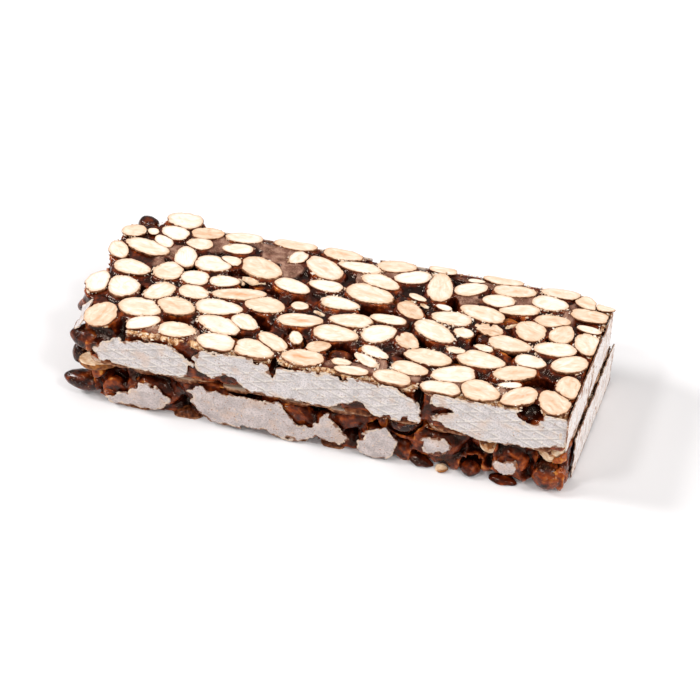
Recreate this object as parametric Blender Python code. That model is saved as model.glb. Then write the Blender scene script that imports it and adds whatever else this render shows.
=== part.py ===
"""A bar of dark almond nougat, sawn through level into two slices that still lie on each other.

Each slice is one solid of caramel and almonds. Whole almonds that stand out of it, and the torn
sheets of edible wafer that the bar was moulded between, are solids of their own. The slices are cut
out round each almond, which keeps a gap of SOCKET_GAP to its socket.

Frame: +X along the bar, +Y to its back, +Z up. The origin is on the surface that the bar lies on,
below the middle of its box. Tables below are in millimetres and degrees.
"""

import math

import bmesh
import bpy
from mathutils import Euler, Matrix, Vector, noise

MM = 0.001

# ---- Driving dimensions, mm ---------------------------------------------------------------------
LOWER_TOP = 20.5
UPPER_BOTTOM = 20.9
UPPER_TOP = 40.0
GAP = 0.35
SOCKET_GAP = 0.5
WAFER_THICKNESS = 0.5
FRONT_Y = -35.5
LOWER_FRONT_Y = -34.6
BACK_Y = 38.4
LOWER_WAFER_Y = -36.6
# Each slice's right-hand end slants back from this corner to its back end, END_SLANT further on.
END_X = 94.5
LOWER_END_X = 95.7
END_SLANT = 5.4
END_BACK_Y = 36.5
# What the layout's own zero moves by, so that the origin is below the middle of the whole.
LAYOUT_SHIFT = (3.1, -3.85)


def on_end(y):
    """The place on the upper slice's right-hand end at y."""
    return END_X + END_SLANT * (y - FRONT_Y) / (END_BACK_Y - FRONT_Y), y



# The slices' outlines seen from above, anticlockwise from the front left corner.
UPPER_PLAN = [
    (-94, FRONT_Y),
    on_end(FRONT_Y),
    on_end(29.0),
    (101.4, 31.4),
    (93.5, 32.8),
    (88, BACK_Y),
    (-68, BACK_Y),
    (-72.5, 41.5),
    (-75, 44.6),
    (-86.5, 44.8),
    (-89.4, 41.0),
    (-90.5, 37.0),
    (-98.5, 35.5),
    (-102.8, 31),
    (-103.4, 25),
    (-104.2, 16),
    (-103.2, 8),
    (-99.4, -1),
    (-103.4, -5),
    (-104.6, -10),
    (-104.0, -15),
    (-99.8, -19.5),
    (-98.8, -22.5),
]
LOWER_PLAN = [
    (-94, LOWER_FRONT_Y),
    (LOWER_END_X, LOWER_FRONT_Y),
    (LOWER_END_X + END_SLANT, END_BACK_Y),
    (92, BACK_Y),
    (-88, BACK_Y),
    (-97, 32),
    (-99, 12),
    (-97, -14),
]

# Each slice between its saw cuts, and the broken end face that buried almonds bulge.
SLABS = {"upper": (UPPER_BOTTOM, UPPER_TOP), "lower": (0.0, LOWER_TOP)}
UPPER_BROKEN_FACE = ((-102.5, 30), (-101.5, -15))
LOWER_BROKEN_FACE = ((-101, 30), (-101, -24))

# Air pockets that the saw opened: x, y, length, width, depth, turn about Z.
TOP_POCKETS = [
    (7.5, -22.5, 11.0, 7.5, 12, 10),
    (11.5, 5.0, 17.0, 5.5, 11, 0),
    (-31.0, -13.5, 13.0, 7.0, 11, -20),
    (80.5, -18.5, 10.5, 8.0, 13, 20),
    (39.0, 17.0, 5.0, 11.0, 10, 8),
    (-18.0, 1.5, 10.0, 6.0, 9, -15),
    (-83.0, -7.0, 8.0, 6.5, 9, -25),
    (33.0, -8.5, 9.0, 5.0, 9, -30),
    (-43.5, 8.0, 11.0, 5.0, 9, -35),
    (-60.5, -22.0, 12.5, 4.0, 8, 0),
    (59.5, -22.8, 6.0, 4.5, 8, 0),
    (67.0, -3.5, 8.0, 4.5, 8, -20),
    (53.6, -0.6, 8.0, 6.0, 9, -60),
]
# Hollows in each slice's front: x, z, length, height, depth.
FRONT_POCKETS = {
    "upper": [
        (80.8, 37.0, 9.0, 7.6, 5.5),
        (39.0, 34.5, 3.4, 12.0, 7.0),
        (-81.0, 37.5, 9.0, 10.0, 9.0),
        (-17.2, 36.0, 4.5, 8.0, 5.0),
    ],
    "lower": [
        (-85.0, 13.0, 12.0, 11.0, 6.0),
        (-55.5, 9.0, 5.0, 15.0, 5.0),
        (-1.5, 15.0, 6.0, 9.0, 5.0),
        (13.0, 9.0, 6.0, 15.0, 5.0),
        (35.5, 9.5, 9.0, 10.0, 5.0),
        (61.5, 12.0, 8.0, 10.0, 5.0),
        (85.0, 16.0, 7.0, 7.0, 5.0),
    ],
}

# Whole almonds that stand out of a slice. name: centre x, y, z, length, width, thickness, then the
# turns about the almond's own long axis, Y and Z. The almond's tip points along its +X.
UPPER_ALMONDS = {
    "upper_almond_front_left": (-96.0, -29.5, 28.4, 15, 11.5, 11.5, 0, -12, 190),
    "upper_almond_back_left": (-96.0, 34.0, 33.4, 14, 11, 10.5, 0, 8, 150),
    "upper_almond_left_1": (-100.6, -12.0, 30.5, 15, 11, 9, 30, 20, 190),
    "upper_almond_left_2": (-99.6, 5.0, 28.5, 16, 12, 9, -20, -12, 172),
    "upper_almond_left_3": (-100.8, 21.0, 31.5, 15, 11, 9, 60, 8, 130),
}
LOWER_ALMONDS = {
    "lower_almond_tip_left": (-99.6, -30.5, 6.2, 17.0, 10.5, 8.6, 0, -8, 186),
    "lower_almond_front_1": (-86.4, -32.0, 4.4, 8, 7.6, 8, 0, 0, 0),
    "lower_almond_front_2": (-70.0, -30.6, 8.0, 22, 11.0, 15, 0, 6, 6),
    "lower_almond_front_3": (-44.0, -30.5, 10.5, 21, 11.4, 17, 0, 10, -4),
    "lower_almond_front_4": (-24.0, -30.6, 8.0, 16, 11.0, 16, 0, -12, 5),
    "lower_almond_front_5": (-9.5, -30.9, 12.0, 17, 10.4, 10.5, 0, 40, 4),
    "lower_almond_front_6": (4.2, -30.8, 8.6, 15, 10.8, 12.5, 0, 60, 0),
    "lower_almond_front_7": (22.8, -30.4, 6.5, 15.6, 11.4, 15.6, 0, -20, 0),
    "lower_almond_front_8": (33.4, -31.0, 18.5, 14, 10.0, 8.0, 0, 0, 4),
    "lower_almond_front_9": (47.2, -30.8, 10.8, 17.4, 10.8, 12.4, 0, -4, 3),
    "lower_almond_front_10": (40.6, -33.0, 1.4, 11, 6.4, 5.0, 0, 16, 0),
    "lower_almond_front_11": (49.0, -34.2, 1.0, 6.0, 5.0, 3.6, 0, 0, 10),
    "lower_almond_front_12": (59.8, -32.0, 2.2, 9.4, 9.0, 8.0, 0, 10, 20),
    "lower_almond_front_13": (66.0, -31.6, 17.0, 8.4, 8.4, 10.4, 0, -16, 0),
    "lower_almond_front_14": (74.6, -30.8, 9.6, 14.4, 10.8, 11.6, 0, -10, 4),
    "lower_almond_front_15": (72.8, -33.2, 0.2, 13, 6.8, 5.0, 0, 0, -4),
    "lower_almond_corner": (89.6, -30.4, 5.4, 15.2, 13, 13.4, 0, 8, 10),
    "lower_almond_corner_top": (89.8, -29.6, 17.5, 12.6, 10.6, 9.4, 0, 0, 12),
    "lower_almond_left_1": (-97.5, -9.0, 9.0, 15, 11, 9, 40, 16, 172),
    "lower_almond_left_2": (-98.0, 11.0, 11.5, 15, 12, 9, -30, -16, 190),
    "lower_almond_left_3": (-96.5, 27.5, 8.5, 15, 11, 9, 10, 12, 150),
}

# Walls that the wafer sheets lie on: where a wall's run starts, and where it heads, seen from above.
WAFER_FRONT_WALL = ((0.0, FRONT_Y - GAP), (1.0, 0.0))
LOWER_WAFER_FRONT_WALL = ((0.0, LOWER_WAFER_Y), (1.0, 0.0))
CORNER_WALL = ((-99.6, -22.6), (5.1, -13.0))
END_WALL = ((END_X + GAP, FRONT_Y), (END_SLANT, END_BACK_Y - FRONT_Y))
LOWER_END_WALL = ((LOWER_END_X + GAP, LOWER_FRONT_Y), (END_SLANT, END_BACK_Y - LOWER_FRONT_Y))
BACK_WALL = ((0.0, BACK_Y + GAP), (-1.0, 0.0))

# Sheets of wafer with their own torn outline: the wall, then points of run along the wall, height.
TORN_WAFERS = {
    "upper_wafer_front_1": (
        WAFER_FRONT_WALL,
        [(-90, 29), (-86, 33), (-67, 37.4), (-58, 37.4), (-50, 31), (-52, 25), (-56, 23), (-76, 23),
         (-88, 24)],
    ),
    "upper_wafer_front_2": (
        WAFER_FRONT_WALL,
        [(-48.6, 33.5), (-46, 38.4), (-26, 39), (-20.6, 37.4), (-17.8, 31), (-15.4, 36.4),
         (4, 38.6), (30, 38.6), (37, 33.4), (41.4, 28.6), (40, 24), (23, 23.4), (16, 28.6),
         (4, 23.2), (-26, 22.8), (-36, 28.8), (-42, 26), (-47, 29)],
    ),
    "upper_wafer_front_3": (
        WAFER_FRONT_WALL,
        [(45, 38.4), (76, 39), (77.4, 35), (80.6, 33.4), (84, 35.2), (86, 39), (93.8, 39), (93.2, 27),
         (84, 22.8), (62, 22.4), (44, 26.8), (53.6, 32), (51.6, 34.8), (44.4, 34.6)],
    ),
    "lower_wafer_front_1": (
        LOWER_WAFER_FRONT_WALL,
        [(-88.6, 5), (-78, 8.6), (-73, 15.2), (-66, 15), (-61, 9), (-65, 3), (-84, 2.2)],
    ),
    "lower_wafer_front_2": (
        LOWER_WAFER_FRONT_WALL,
        [(-53, 16), (-48, 19.4), (-29, 18), (-16, 18.8), (-8, 10), (-2, 10.6), (4, 18.4), (12, 7.4),
         (9, 5), (0, 6.4), (-8, 1.2), (-14, 1.4), (-22, 4.6), (-32, 2), (-44, 2.6), (-52, 11)],
    ),
    "lower_wafer_front_3": (
        LOWER_WAFER_FRONT_WALL,
        [(16, 7), (19, 13), (26.4, 16.8), (31, 11), (28.6, 2), (22, 0.7), (16.4, 3.4)],
    ),
    "lower_wafer_front_4": (
        LOWER_WAFER_FRONT_WALL,
        [(40.6, 14.6), (44, 16.6), (49, 17), (52, 14), (50.6, 10.4), (42, 10)],
    ),
    "lower_wafer_front_5": (
        LOWER_WAFER_FRONT_WALL,
        [(68.4, 9.6), (71, 12.8), (77, 13), (77, 8.6), (71, 6.4)],
    ),
    "upper_wafer_end_1": (
        END_WALL,
        [(1, 25), (0.6, 38.8), (33, 38.8), (35.4, 33), (30, 22.6), (12, 23.4)],
    ),
    "upper_wafer_end_2": (
        END_WALL,
        [(36.6, 38.2), (64.0, 38.8), (64.4, 22.8), (33, 22.8), (37.6, 33)],
    ),
}
# Sheets with plain outlines: the wall, then the least and greatest run and height.
PLAIN_WAFERS = {
    "upper_wafer_corner": (CORNER_WALL, 0.6, 12.0, 35.0, 39.2),
    "lower_wafer_end": (LOWER_END_WALL, 11.0, 69.0, 1.8, 19.2),
    "upper_wafer_back_1": (BACK_WALL, -86.0, -4.0, 22.8, 39.0),
    "upper_wafer_back_2": (BACK_WALL, -0.6, 66.0, 23.2, 38.6),
    "lower_wafer_back_1": (BACK_WALL, -91.0, -18.0, 1.8, 18.8),
    "lower_wafer_back_2": (BACK_WALL, -11.0, 82.0, 2.2, 18.2),
}

# How a slice's outline and a torn edge wander: a point about every step, moved by up to depth.
PLAN_STEP, PLAN_DEPTH = 14.0, 0.2
TEAR_STEP, TEAR_DEPTH = 4.8, 0.8
WANDER_RATE = 0.31

# Almonds buried in a broken face, in two rows: pitch along a row, the rows' share of the height,
# how far in they sit, their size, and how much each of these wobbles.
LUMP_PITCH = 15.5
LUMP_ROWS = (0.27, 0.73)
LUMP_INSET, LUMP_INSET_WOBBLE = 3.2, 1.2
LUMP_SIZE, LUMP_SIZE_WOBBLE = (13.0, 8.6, 10.2), (2.0, 0.0, -1.6)
LUMP_HEIGHT_WOBBLE = 0.06
# No lump is made this near a whole almond, across and up.
LUMP_CLEARANCE = (7.5, 8.0)

# The boxes that the saw cuts stand for are this long and wide, and a slice is cut from a body this
# much taller.
SLAB_LENGTH, SLAB_WIDTH = 300.0, 200.0
SAW_ALLOWANCE = 8.0

# Colours of the solids.
CARAMEL = (0.10, 0.035, 0.015)
SKIN = (0.30, 0.09, 0.03)
WAFER = (0.80, 0.77, 0.74)


# ---- Tools --------------------------------------------------------------------------------------
def clear_scene():
    for obj in list(bpy.data.objects):
        bpy.data.objects.remove(obj)


def make_collection(name):
    collection = bpy.data.collections.new(name)
    bpy.context.scene.collection.children.link(collection)
    return collection


def make_material(name, colour, roughness):
    material = bpy.data.materials.new(name)
    material.use_nodes = True
    shader = material.node_tree.nodes["Principled BSDF"]
    shader.inputs["Base Color"].default_value = (*colour, 1.0)
    shader.inputs["Roughness"].default_value = roughness
    shader.inputs["Metallic"].default_value = 0.0
    return material


def add_object(name, data, collection, material=None, helper=False):
    obj = bpy.data.objects.new(name, data)
    collection.objects.link(obj)
    if material:
        data.materials.append(material)
    if helper:
        obj.hide_render = True
        obj.display_type = "WIRE"
    return obj


def wander(x, y, z):
    """Smooth noise from -1 to 1, the same each run."""
    return noise.noise(Vector((x, y, z)))


def rough_outline(corners, step, depth, seed):
    """The closed outline with a point about every step, each moved in or out by up to depth."""
    points = []
    for i, (x0, y0) in enumerate(corners):
        x1, y1 = corners[(i + 1) % len(corners)]
        length = math.hypot(x1 - x0, y1 - y0)
        count = max(1, round(length / step))
        normal = ((y1 - y0) / length, (x0 - x1) / length)
        for k in range(count):
            x = x0 + (x1 - x0) * k / count
            y = y0 + (y1 - y0) * k / count
            push = depth * wander(x * WANDER_RATE, y * WANDER_RATE, seed)
            points.append((x + normal[0] * push, y + normal[1] * push))
    return points


def plate(name, outline, thickness, collection, material=None, helper=False):
    """A flat solid in its own XY plane, centred on it, as a mesh."""
    curve = bpy.data.curves.new(name, "CURVE")
    curve.dimensions = "2D"
    curve.fill_mode = "BOTH"
    curve.extrude = thickness * MM / 2
    spline = curve.splines.new("POLY")
    spline.points.add(len(outline) - 1)
    for point, (x, y) in zip(spline.points, outline):
        point.co = (x * MM, y * MM, 0, 1)
    spline.use_cyclic_u = True
    drawn = bpy.data.objects.new(name + "_outline", curve)
    collection.objects.link(drawn)
    graph = bpy.context.evaluated_depsgraph_get()
    mesh = bpy.data.meshes.new_from_object(drawn.evaluated_get(graph))
    bpy.data.objects.remove(drawn)
    bm = bmesh.new()
    bm.from_mesh(mesh)
    bmesh.ops.remove_doubles(bm, verts=bm.verts, dist=1e-6)
    bmesh.ops.recalc_face_normals(bm, faces=bm.faces)
    bm.to_mesh(mesh)
    bm.free()
    mesh.name = name
    return add_object(name, mesh, collection, material, helper)


def almond_girth(along):
    """Half width at a place from -1, the blunt end, to 1, the tip, next to a sphere's."""
    return 1.02 - 0.20 * along - 0.16 * along * along


def almond_mesh(name, size):
    """An almond along X, size mm long, wide and thick, with its tip at +X."""
    bm = bmesh.new()
    bmesh.ops.create_uvsphere(bm, u_segments=10, v_segments=7, radius=0.5)
    length, width, thickness = (s * MM for s in size)
    for vert in bm.verts:
        x, y, z = vert.co
        girth = almond_girth(2 * z)
        vert.co = (z * length, x * girth * width, y * girth * thickness)
    mesh = bpy.data.meshes.new(name)
    bm.to_mesh(mesh)
    bm.free()
    mesh.shade_smooth()
    return mesh


def place(obj, centre, turns):
    """Puts obj at centre, mm, turned about its own X, then Y, then Z, in degrees."""
    obj.location = Vector(centre) * MM
    obj.rotation_euler = Euler([math.radians(turn) for turn in turns], "XYZ")


def ball(name, centre, size, turn, collection):
    """An ellipsoid that cuts a pocket or adds a lump."""
    bm = bmesh.new()
    bmesh.ops.create_uvsphere(bm, u_segments=8, v_segments=6, radius=0.5)
    for vert in bm.verts:
        vert.co = [c * s * MM for c, s in zip(vert.co, size)]
    mesh = bpy.data.meshes.new(name)
    bm.to_mesh(mesh)
    bm.free()
    obj = add_object(name, mesh, collection, helper=True)
    place(obj, centre, (0, 0, turn))
    return obj


def boolean(obj, operation, other):
    """Adds a Boolean modifier with one object, or with each object of a collection."""
    modifier = obj.modifiers.new(operation.title(), "BOOLEAN")
    modifier.operation = operation
    modifier.solver = "EXACT"
    if isinstance(other, bpy.types.Collection):
        modifier.operand_type = "COLLECTION"
        modifier.collection = other
        modifier.use_self = True
    else:
        modifier.object = other


# ---- The pieces ---------------------------------------------------------------------------------
def make_almond(name, spec, level, box, cutters, nodes, material):
    """A whole almond, sawn off level with its slice, and the socket that its slice has for it."""
    centre, size, turns = spec[:3], spec[3:6], spec[6:]
    almond = add_object(name, almond_mesh(name, size), nodes, material)
    place(almond, centre, turns)
    low, high = SLABS[level]
    reach = max(size) / 2 + SOCKET_GAP
    if centre[2] + reach > high or centre[2] - reach < low:
        boolean(almond, "INTERSECT", box)
    socket_size = [s + 2 * SOCKET_GAP for s in size]
    socket = add_object(name + "_socket", almond_mesh(name + "_socket", socket_size), cutters,
                        helper=True)
    place(socket, centre, turns)


def slab_box(name, low, high, collection):
    """A wide box between two saw cuts."""
    bm = bmesh.new()
    bmesh.ops.create_cube(bm, size=1)
    for vert in bm.verts:
        vert.co.x *= SLAB_LENGTH * MM
        vert.co.y *= SLAB_WIDTH * MM
        vert.co.z = (low if vert.co.z < 0 else high) * MM
    mesh = bpy.data.meshes.new(name)
    bm.to_mesh(mesh)
    bm.free()
    return add_object(name, mesh, collection, helper=True)


def lumps_along(level, start, end, collection, seed, taken):
    """Almonds buried in a slice's broken face, in two rows, that make its uneven outline. The face
    runs from start to end, and no lump is made where a whole almond is."""
    low, high = SLABS[level]
    run = Vector(end) - Vector(start)
    count = round(run.length / LUMP_PITCH)
    inward = Vector((-run.y, run.x)).normalized()
    turn = math.degrees(math.atan2(run.y, run.x))
    across, above = LUMP_CLEARANCE
    for row, height in enumerate(LUMP_ROWS):
        for k in range(count):
            share = (k + 0.3 + 0.4 * row) / count
            wobble = wander(share * 9, row * 5.0, seed)
            spot = Vector(start) + run * share + inward * (LUMP_INSET + LUMP_INSET_WOBBLE * wobble)
            z = low + (high - low) * (height + LUMP_HEIGHT_WOBBLE * wobble)
            if any((spot - Vector(t[:2])).length < across and abs(z - t[2]) < above for t in taken):
                continue
            size = [s + w * wobble for s, w in zip(LUMP_SIZE, LUMP_SIZE_WOBBLE)]
            ball(f"{level}_lump_{row}_{k}", (*spot, z), size, turn, collection)


def make_slice(level, plan, lumps, box, cutters, nodes, material):
    """A slice of caramel and almonds, sawn level below and above."""
    low, high = SLABS[level]
    outline = rough_outline(plan, PLAN_STEP, PLAN_DEPTH, low)
    body = plate(level + "_slice", outline, high - low + SAW_ALLOWANCE, nodes, material)
    body.location.z = (low + high) / 2 * MM
    boolean(body, "UNION", lumps)
    boolean(body, "INTERSECT", box)
    boolean(body, "DIFFERENCE", cutters)


def make_wafer(name, wall, outline, seed, nodes, material):
    """A torn sheet of wafer, flat against a wall."""
    (x, y), heading = wall
    along = Vector((*heading, 0)).normalized()
    up = Vector((0, 0, 1))
    outward = along.cross(up)
    torn = rough_outline(outline, TEAR_STEP, TEAR_DEPTH, seed)
    sheet = plate(name, torn, WAFER_THICKNESS, nodes, material)
    axes = Matrix((along, up, outward)).transposed().to_4x4()
    middle = Vector((x, y, 0)) + outward * WAFER_THICKNESS / 2
    sheet.matrix_world = Matrix.Translation(middle * MM) @ axes


def main():
    clear_scene()
    nodes = make_collection("nougat_bar")
    helpers = make_collection("cutters")
    caramel = make_material("caramel", CARAMEL, 0.35)
    skin = make_material("almond_skin", SKIN, 0.3)
    wafer = make_material("wafer", WAFER, 0.85)

    for level, plan, almonds, broken_face, seed in (
        ("upper", UPPER_PLAN, UPPER_ALMONDS, UPPER_BROKEN_FACE, 1.7),
        ("lower", LOWER_PLAN, LOWER_ALMONDS, LOWER_BROKEN_FACE, 4.1),
    ):
        box = slab_box(level + "_slab", *SLABS[level], helpers)
        lumps = make_collection(level + "_lumps")
        cutters = make_collection(level + "_cutters")
        for name, spec in almonds.items():
            make_almond(name, spec, level, box, cutters, nodes, skin)
        if level == "upper":
            for i, (x, y, length, width, depth, turn) in enumerate(TOP_POCKETS):
                ball(f"top_pocket_{i}", (x, y, UPPER_TOP), (length, width, 2 * depth), turn, cutters)
        wall_y = plan[0][1]
        for i, (x, z, length, height, depth) in enumerate(FRONT_POCKETS[level]):
            size = (length, 2 * depth, height)
            ball(f"{level}_front_pocket_{i}", (x, wall_y, z), size, 0, cutters)
        lumps_along(level, *broken_face, lumps, seed, almonds.values())
        make_slice(level, plan, lumps, box, cutters, nodes, caramel)

    sheets = dict(TORN_WAFERS)
    for name, (wall, start, end, low, high) in PLAIN_WAFERS.items():
        sheets[name] = (wall, [(start, low), (start, high), (end, high), (end, low)])
    for seed, (name, (wall, outline)) in enumerate(sheets.items()):
        make_wafer(name, wall, outline, 3.7 * seed, nodes, wafer)

    whole = bpy.data.objects.new("nougat_bar", None)
    nodes.objects.link(whole)
    for obj in bpy.data.objects:
        if obj is not whole:
            obj.parent = whole
    whole.location = (LAYOUT_SHIFT[0] * MM, LAYOUT_SHIFT[1] * MM, 0)


main()
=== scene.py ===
"""Looks of a bar of dark almond nougat, sawn level into two slices that lie on each other.

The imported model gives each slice, wafer sheet and standing almond its place and outline. Here each is
replaced by a detailed mesh. Lengths are in millimetres until a mesh is made.
"""

import math

import bpy
import numpy as np
from mathutils import Matrix, Vector
from mathutils.bvhtree import BVHTree


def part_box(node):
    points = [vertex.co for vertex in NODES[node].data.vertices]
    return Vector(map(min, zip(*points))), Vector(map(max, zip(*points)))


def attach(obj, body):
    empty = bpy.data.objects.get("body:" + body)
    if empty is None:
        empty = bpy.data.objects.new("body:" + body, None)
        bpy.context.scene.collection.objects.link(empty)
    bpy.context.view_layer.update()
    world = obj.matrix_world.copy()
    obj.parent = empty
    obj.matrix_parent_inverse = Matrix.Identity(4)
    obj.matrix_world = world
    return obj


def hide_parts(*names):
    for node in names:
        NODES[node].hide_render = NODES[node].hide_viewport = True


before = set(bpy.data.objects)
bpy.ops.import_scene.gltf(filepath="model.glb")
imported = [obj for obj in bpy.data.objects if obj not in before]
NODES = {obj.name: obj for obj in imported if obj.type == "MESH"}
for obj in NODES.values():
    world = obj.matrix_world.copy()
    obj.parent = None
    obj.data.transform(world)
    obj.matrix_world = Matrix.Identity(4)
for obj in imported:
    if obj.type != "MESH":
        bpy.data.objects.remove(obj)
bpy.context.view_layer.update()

MM = 0.001
UP = np.array([0.0, 0.0, 1.0])

# ---- Sizes, mm ----------------------------------------------------------------------------------
GRID = 0.8
SHEET_GRID = 0.55
FINE_SHEET_GRID = 0.38
# How much further than its CAD outline each sheet reaches where it is not 0.35.
OVERHANG = {
    "upper_wafer_end_1": 1.4,
    "upper_wafer_end_2": 1.4,
    "lower_wafer_end": 1.3,
    "upper_wafer_front_1": 0.5,
    "upper_wafer_front_3": 0.8,
}
# Holes in the sheets: place along the wall, height and half sizes.
SHEET_HOLES = {"upper_wafer_front_3": (84.0, 37.6, 4.3, 3.9)}
# How high each kind of sheet reaches.
SHEET_TOPS = {"front": 39.3, "end": 39.8, "back": 37.4, "corner": 39.3}
# The line of the slices' front right corner, where the sheets of both walls run up to each other.
FRONT_CORNER = (98.0, -39.6)
CORNER_OVERHANG = 0.9
# The corners of a sheet that leans out: both ends of its top edge, then of its bottom edge.
LEANING_SHEET = [(-93.7, -22.6, 39.5), (-91.8, -35.0, 39.3), (-99.4, -23.6, 34.0), (-96.6, -36.0, 33.6)]
# The diamond pattern pressed into the upper wafers: the lines' turn in degrees and spacing.
EMBOSSED_LINES = [(-16, 4.4), (22, 3.7)]
SHEET_THICKNESS = 0.58
ALMOND_PITCH = (15.6, 8.1)
ALMOND_LENGTH = (14.0, 19.5)
ALMOND_WIDTH = (8.4, 11.0)
SEAM_STRIP = 13.0
SHEET_BEHIND = 0.74

# Studio: lamps as name, place in metres, diameter in metres and watts.
WORLD_LIGHT = 0.71
FLOOR_GLOW = 0.03
LAMPS = [
    ("key", (-2.55, -0.30, 2.25), 0.85, 62.0),
    ("right_fill", (3.3, 0.20, 1.05), 1.5, 38.0),
    ("left_spark", (-1.35, -1.35, 2.4), 0.45, 18.0),
    ("right_spark", (1.65, -1.05, 2.25), 0.45, 16.0),
    ("glint_1", (-1.9, -1.9, 0.75), 0.14, 3.0),
    ("glint_2", (-0.7, -2.5, 1.05), 0.14, 3.0),
    ("glint_3", (0.5, -2.6, 0.60), 0.14, 3.0),
    ("glint_4", (1.7, -2.2, 0.95), 0.14, 3.0),
]

# The point on the bar's underside that the places below are measured from.
ZERO = np.array([0.0, -2.85, 0.0])

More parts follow.
